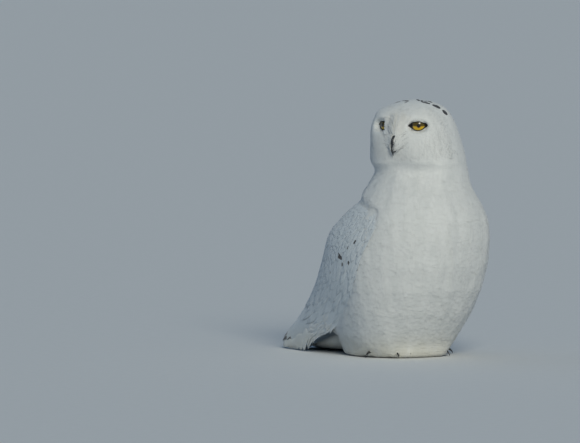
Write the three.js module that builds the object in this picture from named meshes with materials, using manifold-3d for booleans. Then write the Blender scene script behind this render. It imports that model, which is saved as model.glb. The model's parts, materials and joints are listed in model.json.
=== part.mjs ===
// A snowy owl, adult male, sitting upright on flat ground: a still, life-size model.
//
// Millimetres, +Z up. The trunk faces -Y and the bird's left side is +X. The head is turned to the
// bird's right. Forms reach to the tips of the feathers. The soles and the end of the tail rest at
// z = 0, and the group's origin is the bottom centre of the whole bird's box.

import * as THREE from "three";
import { mergeVertices } from "three/addons/utils/BufferGeometryUtils.js";
import Module from "manifold-3d";

const wasm = await Module();
wasm.setup();

// ---------------------------------------------------------------- driving dimensions

const GAP = 0.3; // thin cut between neighbouring pieces
const POCKET = 12; // how far a wing's pocket is cut outwards through the trunk

// Horizontal sections of the trunk and neck, from the skirt of belly feathers up into the head.
// centre is the y of the widest line; half is the half width; front and back reach along -y and +y.
// side is how far a section is pushed to the left, where the turned head gathers up the nape.
const TRUNK = [
  { z: 3.5, centre: 20, half: 70, front: 57, back: 90 },
  { z: 12, centre: 20, half: 83, front: 70, back: 101 },
  { z: 34, centre: 19, half: 95, front: 84, back: 105 },
  { z: 52, centre: 16, half: 102, front: 95, back: 113 },
  { z: 72, centre: 11, half: 109, front: 105, back: 137 },
  { z: 110, centre: 0, half: 118, front: 115, back: 151 },
  { z: 150, centre: -10, half: 121, front: 120, back: 142 },
  { z: 190, centre: -18, half: 120, front: 119, back: 123 },
  { z: 220, centre: -24, half: 114, front: 112, back: 107 },
  { z: 245, centre: -28, half: 102, front: 100, back: 93 },
  { z: 265, centre: -30, half: 88.5, front: 88, back: 82 },
  { z: 285, centre: -32, half: 76.5, front: 73, back: 75, side: 1 },
  { z: 300, centre: -31, half: 70.5, front: 66, back: 71, side: 3 },
  { z: 312, centre: -31, half: 64, front: 58, back: 66, side: 5 },
  { z: 322, centre: -31, half: 59, front: 50, back: 61, side: 7 },
];
const TRUNK_POWER = { front: 2.15, back: 2.4 }; // 2 is an ellipse, more is squarer
const TRUNK_SIDES = 34;
const NECK_BASE_Z = 268; // the cut between trunk and neck
const SKIRT_Z = 34; // the cut between trunk and the feathered legs below it

// The head, in a frame of its own whose forward is -Y before it is turned.
const HEAD_PLACE = { x: -10, y: -30, turnDeg: -65 };
const HEAD = [
  { z: 297, centre: 2, half: 44, front: 36, back: 46, side: 4 },
  { z: 303, centre: 2, half: 61, front: 50, back: 60, side: 4 },
  { z: 312, centre: 2, half: 72.5, front: 60, back: 71, side: 5.5 },
  { z: 322, centre: 2, half: 75.5, front: 62, back: 74, side: 5.5 },
  { z: 331, centre: 2, half: 75, front: 62.5, back: 74, side: 4.5 },
  { z: 340, centre: 1, half: 72.5, front: 62, back: 72.5, side: 3.5 },
  { z: 349, centre: 1, half: 71.5, front: 62, back: 71.5, side: 2 },
  { z: 358, centre: 0, half: 70.5, front: 61.5, back: 70.5, side: 1 },
  { z: 367, centre: 0, half: 68.5, front: 60, back: 69, side: 0 },
  { z: 377, centre: 0, half: 65, front: 57.5, back: 65.5, side: -1 },
  { z: 388, centre: 1, half: 57.5, front: 51.5, back: 58, side: -2 },
  { z: 399, centre: 2, half: 45, front: 41, back: 46, side: -1 },
  { z: 408, centre: 3, half: 27, front: 26, back: 28, side: 0 },
  { z: 413, centre: 4, half: 8, front: 8, back: 8, side: 0 },
];
const HEAD_POWER = { front: 2.5, back: 2.1 };
const HEAD_SIDES = 32;
// Swells and hollows of the face: side is measured to each side of the midline.
const FACE_RELIEF = [
  { name: "eye hollow", side: 33, z: 372, reach: 15, height: -7 },
  { name: "brow", side: 36, z: 388, reach: 17, height: 5 },
  { name: "bridge of the bill", side: 0, z: 362, reach: 13, height: 7 },
  { name: "bristles beside the bill", side: 12, z: 342, reach: 14, height: 5 },
  { name: "hollow below the bill", side: 0, z: 328, reach: 9, height: -6 },
  { name: "cheek", side: 44, z: 338, reach: 20, height: 2.5 },
];

// Eyes: the front of each cornea, measured in the head's frame.
const EYE = { radius: 14, side: 33.4, forward: 45.4, z: 373, outwardDeg: 28 };
const EYE_OPENING = { wide: 17, tall: 9.5, deep: 13 }; // half sizes of the feathered hollow before it

// Bill: centre lines in the head's midplane, as forward and z, with half width and half height.
const BILL_UPPER = [
  { forward: 44, z: 350, wide: 8, tall: 9.5 },
  { forward: 56, z: 349, wide: 8, tall: 9.5 },
  { forward: 63.5, z: 343, wide: 6.3, tall: 7.5 },
  { forward: 67, z: 334, wide: 3.6, tall: 4.4 },
  { forward: 67.6, z: 325, wide: 0.7, tall: 0.7 },
];
const BILL_LOWER = [
  { forward: 44, z: 334.5, wide: 6, tall: 4 },
  { forward: 54, z: 333.5, wide: 5.4, tall: 3.6 },
  { forward: 62, z: 329.5, wide: 2, tall: 1.4 },
];

// Folded wing, on the left side: across each station it runs from the leading edge, which is low
// and to the front, over the outermost ridge, to the trailing edge on the back.
const WING = [
  { lead: [96, -53, 238], ridge: [86, 4, 250], trail: [49, 43, 257], thick: 9 },
  { lead: [109, -62, 212], ridge: [98, 33, 226], trail: [55, 73, 232], thick: 16 },
  { lead: [120, -40, 165], ridge: [104, 71, 193], trail: [49, 105, 199], thick: 17 },
  { lead: [116, -8, 110], ridge: [98, 100, 150], trail: [35, 138, 160], thick: 15 },
  { lead: [96, 54, 53], ridge: [85, 140, 107], trail: [20, 172, 119], thick: 11 },
  { lead: [80, 160, 18], ridge: [70, 197, 64], trail: [18, 212, 78], thick: 7 },
  { lead: [62, 264, 4], ridge: [58, 271, 15], trail: [50, 267, 22], thick: 2.4 },
];
const WING_STEPS = { along: 16, across: 7 };
const PRIMARIES_CUT = { y: 150, z: 80, slopeDeg: 38 }; // where the long flight feathers come free

// Tail: the middle's line from the rump to its end on the ground. hang is how far the edges droop
// below the middle.
const TAIL = [
  { y: 96, z: 76, half: 26, thick: 10, hang: 20 },
  { y: 140, z: 59, half: 34, thick: 9, hang: 25 },
  { y: 190, z: 34, half: 42, thick: 7, hang: 21 },
  { y: 232, z: 13.5, half: 47, thick: 5, hang: 10 },
  { y: 258, z: 1.7, half: 46, thick: 3.8, hang: 0.6 },
];
const TAIL_ROUNDING = 30; // how far its corners stand back from the middle of its end

// Feet: toes that reach out from a place under each leg.
const FOOT_PLACE = { x: 38, y: 16, turnDeg: 5 };
const TOES = [
  { name: "inner", angleDeg: -20, reach: 38, radius: 9 },
  { name: "middle", angleDeg: 6, reach: 44, radius: 9.5 },
  { name: "outer", angleDeg: 62, reach: 34, radius: 9 },
  { name: "hind", angleDeg: 172, reach: 26, radius: 8.5 },
];
const CLAW = { length: 25, radius: 3.4, rise: 8.5, inside: 7 };

const FEATHER = { color: 0xe9edef, roughness: 0.85, metalness: 0 };
const HORN = { color: 0x17181b, roughness: 0.35, metalness: 0 };
const CORNEA = { color: 0xd9a21b, roughness: 0.08, metalness: 0 };

// ---------------------------------------------------------------- forms and solids

const radians = THREE.MathUtils.degToRad;
const signedPower = (v, p) => Math.sign(v) * Math.abs(v) ** p;

// Rows of named numbers, joined by a smooth curve and read at a place between the first and last.
function smoothRow(rows, axis, at) {
  const last = rows.length - 2;
  let i = rows.findIndex((row, n) => n > 0 && at <= row[axis]) - 1;
  if (i < 0) i = at <= rows[0][axis] ? 0 : last;
  const [a, b] = [rows[i], rows[i + 1]];
  const span = b[axis] - a[axis];
  const t = (at - a[axis]) / span;
  const slope = (n, key) => {
    const [p, q] = [rows[Math.max(n - 1, 0)], rows[Math.min(n + 1, rows.length - 1)]];
    return (q[key] - p[key]) / (q[axis] - p[axis]);
  };
  const row = {};
  for (const key of Object.keys(a)) {
    const rise = b[key] - a[key];
    const [m0, m1] = [slope(i, key) * span - rise, rise - slope(i + 1, key) * span];
    row[key] = a[key] + rise * t + t * (1 - t) * ((1 - t) * m0 + t * m1);
  }
  return row;
}

// Closes a list of rings, each with the same even count of points, into one geometry. Each end is
// a strip across its ring, so that crescents close as well as rounds.
function loft(rings) {
  const sides = rings[0].length;
  const index = [];
  for (let i = 0; i + 1 < rings.length; i++)
    for (let j = 0; j < sides; j++) {
      const [a, b] = [i * sides + j, i * sides + ((j + 1) % sides)];
      index.push(a, b, b + sides, a, b + sides, a + sides);
    }
  const last = (rings.length - 1) * sides;
  for (let j = 0; j + 1 < sides / 2; j++) {
    const [p, q, r, s] = [j, j + 1, sides - 2 - j, sides - 1 - j];
    index.push(q, p, s, q, s, r);
    index.push(last + p, last + q, last + r, last + p, last + r, last + s);
  }
  return new THREE.BufferGeometry().setFromPoints(rings.flat()).setIndex(index);
}

// A geometry as a solid that can be cut and joined, turned the right way out if it must be.
function solidOf(geometry) {
  const bare = geometry.clone();
  bare.deleteAttribute("normal");
  bare.deleteAttribute("uv");
  const merged = mergeVertices(bare, 1e-4);
  const build = (triVerts) => {
    const vertProperties = merged.attributes.position.array;
    return new wasm.Manifold(new wasm.Mesh({ numProp: 3, vertProperties, triVerts }));
  };
  const triVerts = new Uint32Array(merged.index.array);
  const made = build(triVerts);
  return made.volume() > 0 ? made : build(triVerts.reverse());
}

function geometryOf(solid) {
  const { numVert, numProp, vertProperties, triVerts } = solid.getMesh();
  const position = new Float32Array(numVert * 3);
  for (let i = 0; i < numVert; i++)
    position.set(vertProperties.subarray(i * numProp, i * numProp + 3), i * 3);
  const geometry = new THREE.BufferGeometry();
  geometry.setAttribute("position", new THREE.BufferAttribute(position, 3));
  geometry.setIndex(new THREE.BufferAttribute(triVerts, 1));
  geometry.computeVertexNormals();
  return geometry;
}

// The largest body of a solid, so that a cut leaves no loose sliver behind.
const mainBody = (solid) =>
  solid.decompose().reduce((best, s) => (s.volume() > best.volume() ? s : best));

// A solid with its left and right swapped.
const mirrored = (solid) => solid.mirror([1, 0, 0]);

// A solid of a turned or moved group, in the whole bird's frame.
function placed(solid, group) {
  group.updateMatrixWorld(true);
  return solid.transform(group.matrixWorld.elements);
}

// Splits a solid by a plane and leaves a thin gap. Returns the side that the normal points to first.
function parted(solid, normal, point) {
  const n = normal.clone().normalize();
  const d = n.dot(point);
  return [
    solid.trimByPlane(n.toArray(), d + GAP / 2),
    solid.trimByPlane(n.clone().negate().toArray(), -d + GAP / 2),
  ];
}

// A form made of horizontal sections whose front and back halves have their own squareness.
function sectioned(rows, power, sides, grow = 0, relief = () => 0) {
  const rings = rows.map(({ z, centre, half, front, back, side = 0 }, level) => {
    const lift = level === 0 ? -grow : level === rows.length - 1 ? grow : 0;
    return Array.from({ length: sides }, (_, j) => {
      const turn = (2 * Math.PI * j) / sides;
      const [c, s] = [Math.cos(turn), Math.sin(turn)];
      const bend = 2 / (s < 0 ? power.front : power.back);
      const reach = s < 0 ? front : back;
      const x = (half + grow) * signedPower(c, bend);
      const y = (reach + grow) * signedPower(s, bend);
      const swell = 1 + relief(side + x, y, z) / Math.hypot(x, y);
      return new THREE.Vector3(side + x * swell, centre + y * swell, z + lift);
    });
  });
  return loft(rings);
}

// ---------------------------------------------------------------- head

const headGroup = new THREE.Group();
headGroup.position.set(HEAD_PLACE.x, HEAD_PLACE.y, 0);
headGroup.rotation.z = radians(HEAD_PLACE.turnDeg);

function faceRelief(x, y, z) {
  if (y > 0) return 0;
  const facing = -y / Math.hypot(x, y);
  return FACE_RELIEF.reduce((sum, { side, z: height, reach, height: rise }) => {
    const away = Math.hypot(Math.abs(x) - side, z - height) / reach;
    return sum + rise * facing * Math.exp(-away * away);
  }, 0);
}

const headForm = (grow) => solidOf(sectioned(HEAD, HEAD_POWER, HEAD_SIDES, grow, faceRelief));

// A tapering form along a centre line in the head's midplane.
function billForm(rows, grow) {
  const sides = 8;
  const line = new THREE.CatmullRomCurve3(rows.map((r) => new THREE.Vector3(0, -r.forward, r.z)));
  const steps = (rows.length - 1) * 2;
  const across = new THREE.Vector3(1, 0, 0);
  const rings = Array.from({ length: steps + 1 }, (_, i) => {
    const t = i / steps;
    const at = line.getPoint(t);
    const up = across.clone().cross(line.getTangent(t));
    const scaled = rows.map((row, n) => ({ ...row, t: n / (rows.length - 1) }));
    const { wide, tall } = smoothRow(scaled, "t", t);
    return Array.from({ length: sides }, (_, j) => {
      const turn = (2 * Math.PI * j) / sides;
      return at
        .clone()
        .addScaledVector(across, (wide + grow) * Math.cos(turn))
        .addScaledVector(up, (tall + grow) * Math.sin(turn));
    });
  });
  return solidOf(loft(rings));
}

function eyeCentre(side) {
  const outward = radians(EYE.outwardDeg);
  return new THREE.Vector3(
    side * (EYE.side - EYE.radius * Math.sin(outward)),
    -(EYE.forward - EYE.radius * Math.cos(outward)),
    EYE.z,
  );
}

function eyeForm(side, grow) {
  const at = eyeCentre(side);
  return solidOf(new THREE.SphereGeometry(EYE.radius + grow, 14, 10).translate(at.x, at.y, at.z));
}

// The hollow between the feathers through which an eye is seen.
function eyeOpening(side) {
  const { wide, tall, deep } = EYE_OPENING;
  return solidOf(
    new THREE.SphereGeometry(1, 12, 8)
      .scale(wide, deep, tall)
      .rotateZ(radians(side * EYE.outwardDeg))
      .translate(side * (EYE.side + 2), -(EYE.forward + 6), EYE.z),
  );
}

const billUpper = billForm(BILL_UPPER, 0);
const billLower = billForm(BILL_LOWER, 0).subtract(billForm(BILL_UPPER, GAP));
const head = [-1, 1].reduce(
  (solid, side) => solid.subtract(eyeForm(side, GAP)).subtract(eyeOpening(side)),
  headForm(0).subtract(billForm(BILL_UPPER, GAP)).subtract(billForm(BILL_LOWER, GAP)),
);

// ---------------------------------------------------------------- wings

// One folded wing on the left side. grow widens it all round; proud moves its outer face outwards.
function wingForm(grow = 0, proud = grow) {
  const curve = (key) =>
    new THREE.CatmullRomCurve3(WING.map((row) => new THREE.Vector3(...row[key])));
  const [lead, ridge, trail] = ["lead", "ridge", "trail"].map(curve);
  const thickRows = WING.map((row, n) => ({ t: n / (WING.length - 1), thick: row.thick }));
  const { along, across } = WING_STEPS;
  const section = (t) => {
    const [a, top, b] = [lead, ridge, trail].map((c) => c.getPoint(t));
    const pull = top.clone().multiplyScalar(2).addScaledVector(a, -0.5).addScaledVector(b, -0.5);
    return new THREE.QuadraticBezierCurve3(a, pull, b);
  };
  const spread = 1e-3;
  const rings = Array.from({ length: along + 1 }, (_, i) => {
    const t = i / along;
    const here = section(t);
    const near = section(Math.min(t + spread, 1));
    const before = section(Math.max(t - spread, 0));
    const width = here.getLength();
    const { thick } = smoothRow(thickRows, "t", t);
    const [outer, inner] = [[], []];
    for (let j = 0; j <= across; j++) {
      const s = j / across;
      const lengthwise = near.getPoint(s).sub(before.getPoint(s)).normalize();
      const inward = here.getTangent(s).cross(lengthwise).normalize();
      const edge = (2 * s - 1) ** 4 * Math.sign(s - 0.5) * grow;
      const at = here.getPoint(s).addScaledVector(here.getTangent(s), edge);
      const depth = thick * (0.22 + 0.78 * Math.sin(Math.PI * s) ** 0.8);
      outer.push(at.clone().addScaledVector(inward, -proud));
      inner.push(at.clone().addScaledVector(inward, depth + grow));
    }
    const push = i === 0 ? -3 * grow : i === along ? 2 * grow : 0;
    const lengthwise = near.getPoint(0.5).sub(before.getPoint(0.5)).normalize();
    const ring = [...outer, ...inner.reverse()];
    return width > 0 ? ring.map((p) => p.addScaledVector(lengthwise, push)) : ring;
  });
  return solidOf(loft(rings));
}

const wing = wingForm();
const wingRoom = wingForm(GAP);
const wingPocket = wingRoom.add(wingForm(0, POCKET));

// The long flight feathers come free of the rest of the wing along a slanting line.
const primariesSlope = radians(PRIMARIES_CUT.slopeDeg);
const [primaries, wingArm] = parted(
  wing,
  new THREE.Vector3(0, Math.cos(primariesSlope), -Math.sin(primariesSlope)),
  new THREE.Vector3(0, PRIMARIES_CUT.y, PRIMARIES_CUT.z),
).map(mainBody);

// ---------------------------------------------------------------- trunk and neck

const trunkForm = (grow) => solidOf(sectioned(TRUNK, TRUNK_POWER, TRUNK_SIDES, grow));

const withoutWings = (solid, cutter) => solid.subtract(cutter).subtract(mirrored(cutter));

const up = new THREE.Vector3(0, 0, 1);
const [neckAndUp, bodyBelow] = parted(
  withoutWings(trunkForm(0), wingPocket),
  up,
  up.clone().multiplyScalar(NECK_BASE_Z),
);
const [trunkMiddle, skirt] = parted(bodyBelow, up, up.clone().multiplyScalar(SKIRT_Z));
const neck = mainBody(neckAndUp.subtract(placed(headForm(GAP), headGroup)));
const trunk = mainBody(trunkMiddle);

// ---------------------------------------------------------------- tail

function tailForm() {
  const sides = 18;
  const first = TAIL[0].y;
  const length = TAIL.at(-1).y - first;
  const steps = 8;
  const rings = Array.from({ length: steps + 1 }, (_, i) => {
    const t = i / steps;
    const { y, z, half, thick, hang } = smoothRow(TAIL, "y", first + length * t);
    return Array.from({ length: sides }, (_, j) => {
      const turn = (2 * Math.PI * j) / sides;
      const across = signedPower(Math.cos(turn), 0.8);
      const back = TAIL_ROUNDING * (across * t) ** 2;
      const above = (thick / 2) * signedPower(Math.sin(turn), 0.8);
      return new THREE.Vector3(half * across, y - back, z + above - hang * across ** 2);
    });
  });
  return solidOf(loft(rings));
}

const floorUp = (solid) => solid.trimByPlane([0, 0, 1], 0);
const tail = mainBody(
  floorUp(withoutWings(tailForm(), wingRoom).subtract(trunkForm(GAP))),
);

// ---------------------------------------------------------------- legs, feet and claws

// A claw that curves down from a toe's tip until its point is just above the ground.
function clawForm({ angleDeg, reach }, grow) {
  const { length, radius, rise, inside } = CLAW;
  const turn = radians(angleDeg);
  const ahead = new THREE.Vector3(Math.sin(turn), -Math.cos(turn), 0);
  const point = (along, height) => ahead.clone().multiplyScalar(along).addScaledVector(up, height);
  const line = new THREE.QuadraticBezierCurve3(
    point(reach - inside, rise),
    point(reach + length * 0.62, rise + 4.5),
    point(reach + length - inside, 1),
  );
  const [steps, sides] = [5, 6];
  const across = up.clone().cross(ahead);
  const rings = Array.from({ length: steps + 1 }, (_, i) => {
    const t = i / steps;
    const over = line.getTangent(t).cross(across);
    const size = grow + radius * (1 - 0.88 * t ** 1.3);
    return Array.from({ length: sides }, (_, j) => {
      const spin = (2 * Math.PI * j) / sides;
      return line
        .getPoint(t)
        .addScaledVector(across, size * 0.85 * Math.cos(spin))
        .addScaledVector(over, size * Math.sin(spin));
    });
  });
  return solidOf(loft(rings));
}

function footForm(grow) {
  const toes = TOES.map(({ angleDeg, reach, radius }) =>
    solidOf(
      new THREE.CapsuleGeometry(radius + grow, reach - radius, 1, 8)
        .translate(0, -(reach - radius) / 2, 0)
        .scale(1.08, 1, 0.92)
        .rotateZ(radians(angleDeg))
        .translate(0, 0, radius * 0.86),
    ),
  );
  return toes.reduce((solid, toe) => solid.add(toe));
}

// The left foot stands in a group of its own; the right side is its mirror image.
function footGroup(side) {
  const group = new THREE.Group();
  group.position.set(side * FOOT_PLACE.x, FOOT_PLACE.y, 0);
  group.rotation.z = radians(side * FOOT_PLACE.turnDeg);
  return group;
}

const clawRoom = TOES.reduce((solid, toe) => solid.add(clawForm(toe, GAP)), footForm(GAP));
const foot = TOES.reduce(
  (solid, toe) => solid.subtract(clawForm(toe, GAP)),
  floorUp(footForm(0)),
);
const claws = TOES.map((toe) => clawForm(toe, 0));
const leg = mainBody(
  skirt.trimByPlane([1, 0, 0], GAP / 2).subtract(placed(clawRoom, footGroup(1))),
);

// ---------------------------------------------------------------- the bird

function piece(name, solid, finish) {
  const mesh = new THREE.Mesh(geometryOf(solid), new THREE.MeshStandardMaterial(finish));
  mesh.name = name;
  return mesh;
}

const body = new THREE.Group();
body.add(
  piece("trunk", trunk, FEATHER),
  piece("neck", neck, FEATHER),
  piece("tail", tail, FEATHER),
  piece("wing_left", wingArm, FEATHER),
  piece("wing_right", mirrored(wingArm), FEATHER),
  piece("primaries_left", primaries, FEATHER),
  piece("primaries_right", mirrored(primaries), FEATHER),
);
headGroup.add(
  piece("head", mainBody(head), FEATHER),
  piece("bill_upper", billUpper, HORN),
  piece("bill_lower", mainBody(billLower), HORN),
  piece("eye_left", eyeForm(1, 0), CORNEA),
  piece("eye_right", eyeForm(-1, 0), CORNEA),
);
body.add(headGroup);
for (const [name, side] of [["left", 1], ["right", -1]]) {
  const own = (solid) => (side > 0 ? solid : mirrored(solid));
  const group = footGroup(side);
  group.add(piece(`foot_${name}`, own(mainBody(foot)), FEATHER));
  claws.forEach((claw, i) => group.add(piece(`claw_${name}_${TOES[i].name}`, own(claw), HORN)));
  body.add(piece(`leg_${name}`, own(leg), FEATHER), group);
}

// The origin goes to the bottom centre of the bird's box.
const owl = new THREE.Group();
owl.add(body);
const box = new THREE.Box3().setFromObject(body, true);
const middle = box.getCenter(new THREE.Vector3());
body.position.set(-middle.x, -middle.y, -box.min.z);

export default owl;
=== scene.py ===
import json
import math

import bmesh
import bpy
import numpy as np
from mathutils import Matrix, Vector
from mathutils.bvhtree import BVHTree

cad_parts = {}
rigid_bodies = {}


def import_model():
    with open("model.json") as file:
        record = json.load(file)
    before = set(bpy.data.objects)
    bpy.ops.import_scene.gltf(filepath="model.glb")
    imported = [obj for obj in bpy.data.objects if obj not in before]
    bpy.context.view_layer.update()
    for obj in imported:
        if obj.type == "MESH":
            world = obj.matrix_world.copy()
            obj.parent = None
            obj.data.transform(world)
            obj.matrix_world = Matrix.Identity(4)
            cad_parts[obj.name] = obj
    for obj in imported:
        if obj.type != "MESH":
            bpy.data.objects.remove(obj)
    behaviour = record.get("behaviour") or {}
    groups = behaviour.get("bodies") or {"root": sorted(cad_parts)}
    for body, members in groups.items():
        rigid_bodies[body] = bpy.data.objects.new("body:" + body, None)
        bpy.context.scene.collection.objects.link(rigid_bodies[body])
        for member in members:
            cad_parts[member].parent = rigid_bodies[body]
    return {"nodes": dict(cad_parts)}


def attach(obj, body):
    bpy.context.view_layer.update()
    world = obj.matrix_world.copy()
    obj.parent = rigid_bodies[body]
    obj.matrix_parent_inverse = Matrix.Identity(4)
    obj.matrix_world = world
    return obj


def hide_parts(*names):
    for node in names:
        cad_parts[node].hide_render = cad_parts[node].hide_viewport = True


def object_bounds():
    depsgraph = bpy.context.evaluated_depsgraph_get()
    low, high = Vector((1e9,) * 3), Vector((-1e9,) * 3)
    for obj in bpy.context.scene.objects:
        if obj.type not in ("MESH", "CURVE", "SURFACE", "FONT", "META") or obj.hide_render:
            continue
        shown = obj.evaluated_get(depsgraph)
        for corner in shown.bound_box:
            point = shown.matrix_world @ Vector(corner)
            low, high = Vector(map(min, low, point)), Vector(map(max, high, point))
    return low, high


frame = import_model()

bl_info = {
    "name": "Snowy owl",
    "version": (1, 0, 0),
    "blender": (4, 5, 0),
    "location": "3D View > Sidebar > Owl",
    "description": "Dresses the solid owl with skin, plumage, eyes, bill and claws",
    "category": "Object",
}

SOLID_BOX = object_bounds()
MM = 0.001

# ---------------------------------------------------------------------------
# The bird's own sizes, in millimetres, measured from under its breast
# ---------------------------------------------------------------------------
SHIFT = np.array((0.0, -67.287, 0.0))  # from those sizes to the frame's origin

HEAD_AT = (-10.0, -30.0)
HEAD_TURN = math.radians(-65)
EYE_RADIUS = 14.0
EYE_PLACE = (26.83, 33.04, 373.0)  # side, forward, height of the eye's centre
EYE_OUTWARD = math.radians(28)
EYE_DOWN = math.radians(5)
IRIS_RADIUS = 10.3
BILL_ROOT = (0.0, 58.0, 352.0)

WING_KEYS = {
    "lead": (
        (96, -53, 238), (109, -62, 212), (120, -40, 165), (116, -8, 110), (96, 54, 53), (80, 160, 18),
        (62, 264, 4)
    ),
    "ridge": (
        (86, 4, 250), (98, 33, 226), (104, 71, 193), (98, 100, 150), (85, 140, 107), (70, 197, 64),
        (58, 271, 15)
    ),
    "trail": (
        (49, 43, 257), (55, 73, 232), (49, 105, 199), (35, 138, 160), (20, 172, 119), (18, 212, 78),
        (50, 267, 22)
    ),
}
TAIL = (
    (96, 76, 26, 10, 20), (140, 59, 34, 9, 25), (190, 34, 42, 7, 21), (232, 13.5, 47, 5, 10),
    (258, 1.7, 46, 3.8, 0.6)
)
TAIL_ROUNDING = 30.0
# fluff under the tail: back from the breast, half width, middle height, half height
UNDERTAIL = (
    (60, 50, 34, 33), (95, 60, 30, 29), (130, 61, 22, 21.5), (165, 54, 15, 14.5), (195, 48, 11, 10.5),
    (225, 38, 6, 5.5)
)
# outline of the hem over the feet, from the front round the left side, and its share at some heights
HEM_LEFT = ((0, -53), (25, -52), (42, -47), (55, -34), (70, -8), (78, 15), (80, 47), (60, 95), (0, 108))
HEM = HEM_LEFT + tuple((-x, y) for x, y in HEM_LEFT[-2::-1])
HEM_MIDDLE = (0, 24)
HEM_ROWS = ((0.3, 0.97), (5, 1.0), (12, 0.99), (22, 0.95), (34, 0.86))
BILL_UPPER = (
    (44, 350, 8, 9.5), (58, 350.5, 7, 8.5), (69.5, 346, 4.4, 6.4), (71.4, 336, 3.0, 4.4),
    (68.8, 325, 0.7, 0.7)
)
BILL_LOWER = ((44, 335, 4.4, 3.2), (56, 334, 3.8, 2.5), (65, 330.5, 1.4, 1))

SKIN_GRAIN = 0.0027  # size of the grid that the skin is made on
TONE_STEP = 17.0  # sets each feather's barbs apart from its neighbours'
LID_POINTS = 80

FLESH = (
    "trunk", "neck", "head", "wing_left", "wing_right", "leg_left", "leg_right", "foot_left", "foot_right"
)
CLAWS = tuple(
    f"claw_{side}_{toe}" for side in ("left", "right") for toe in ("inner", "middle", "outer", "hind")
)


def to_frame(points):
    """Millimetres on the bird to metres in the frame."""
    return (np.asarray(points, float) + SHIFT) * MM


def to_bird(points):
    """Metres in the frame to millimetres on the bird."""
    return np.asarray(points, float) / MM - SHIFT


def from_head(side, forward, height):
    """A place on the head, by its own left side and forward, to the bird's millimetres."""
    c, s = math.cos(HEAD_TURN), math.sin(HEAD_TURN)
    x, y = np.asarray(side, float), -np.asarray(forward, float)
    return np.stack(np.broadcast_arrays(HEAD_AT[0] + c * x - s * y, HEAD_AT[1] + s * x + c * y, height), -1)


def to_head(points):
    """The bird's millimetres to the head's side, forward and height."""
    c, s = math.cos(HEAD_TURN), math.sin(HEAD_TURN)
    x, y = points[..., 0] - HEAD_AT[0], points[..., 1] - HEAD_AT[1]
    return c * x + s * y, -(-s * x + c * y), points[..., 2]


def head_way(side, forward, height):
    """A direction on the head, turned with it."""
    c, s = math.cos(HEAD_TURN), math.sin(HEAD_TURN)
    side, forward, height = np.broadcast_arrays(side, forward, height)
    return np.stack((c * side + s * forward, s * side - c * forward, height), -1)


def unit(v):
    return v / np.maximum(np.linalg.norm(v, axis=-1, keepdims=True), 1e-9)


def ease(low, high, x):
    t = np.clip((x - low) / (high - low), 0, 1)
    return t * t * (3 - 2 * t)


def follow(points, t):
    """A smooth curve through the points, read at t from 0 to 1 (t may be an array)."""
    p = np.asarray(points, float)
    p = p if p.ndim > 1 else p[:, None]
    ends = np.vstack((2 * p[0] - p[1], p, 2 * p[-1] - p[-2]))
    x = np.asarray(t, float) * (len(p) - 1)
    i = np.clip(np.floor(x).astype(int), 0, len(p) - 2)
    w = (x - i)[..., None]
    q = [ends[i + k] for k in range(4)]
    d = [np.maximum(np.sum((q[k + 1] - q[k]) ** 2, -1, keepdims=True) ** 0.25, 1e-4) for k in range(3)]
    t1 = ((q[1] - q[0]) / d[0] - (q[2] - q[0]) / (d[0] + d[1]) + (q[2] - q[1]) / d[1]) * d[1]
    t2 = ((q[2] - q[1]) / d[1] - (q[3] - q[1]) / (d[1] + d[2]) + (q[3] - q[2]) / d[2]) * d[1]
    return (
        q[1] + t1 * w + (-3 * q[1] + 3 * q[2] - 2 * t1 - t2) * w**2 + (2 * q[1] - 2 * q[2] + t1 + t2) * w**3
    )


# ---------------------------------------------------------------------------
# Meshes
# ---------------------------------------------------------------------------
def link(obj):
    bpy.context.scene.collection.objects.link(obj)
    return obj


def mesh_from(name, points, faces):
    """A new smooth mesh."""
    mesh = bpy.data.meshes.new(name)
    mesh.from_pydata(np.asarray(points).tolist(), [], [tuple(map(int, f)) for f in faces])
    mesh.polygons.foreach_set("use_smooth", [True] * len(mesh.polygons))
    return mesh


def mesh_piece(name, points, faces, material):
    """A new object from points in metres and faces."""
    mesh = mesh_from(name, points, faces)
    mesh.materials.append(material)
    mesh.update()
    return link(bpy.data.objects.new(name, mesh))


def give_place(piece, replaced=()):
    """Says what the piece rides on, and the solids that it stands for."""
    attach(piece, "root")
    if replaced:
        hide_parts(*replaced)


def coords(mesh):
    out = np.empty(len(mesh.vertices) * 3, np.float32)
    mesh.vertices.foreach_get("co", out)
    return out.reshape(-1, 3).astype(float)


def normals(mesh):
    out = np.empty(len(mesh.vertices) * 3, np.float32)
    mesh.vertex_normals.foreach_get("vector", out)
    return out.reshape(-1, 3).astype(float)


def set_coords(mesh, points):
    mesh.vertices.foreach_set("co", np.asarray(points, np.float32).ravel())
    mesh.update()


def keep(mesh, name, values, kind="FLOAT", domain="POINT"):
    """Stores values on the mesh under a name."""
    old = mesh.attributes.get(name)
    if old is not None:
        mesh.attributes.remove(old)
    field = {"FLOAT": "value", "FLOAT_VECTOR": "vector", "FLOAT2": "vector"}[kind]
    mesh.attributes.new(name, kind, domain).data.foreach_set(field, np.asarray(values, np.float32).ravel())


def read(mesh, name, width):
    layer = mesh.attributes[name]
    out = np.empty(len(layer.data) * width, np.float32)
    layer.data.foreach_get("value" if width == 1 else "vector", out)
    return out.reshape(-1, width) if width > 1 else out


def triangles_of(mesh):
    """The three point numbers of each triangle."""
    mesh.calc_loop_triangles()
    tris = np.empty(len(mesh.loop_triangles) * 3, np.int32)
    mesh.loop_triangles.foreach_get("vertices", tris)
    return tris.reshape(-1, 3)


def at_corners(mesh, values):
    """A point's value for every face corner that meets there."""
    corners = np.empty(len(mesh.loops), np.int32)
    mesh.loops.foreach_get("vertex_index", corners)
    return values[corners]


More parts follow.
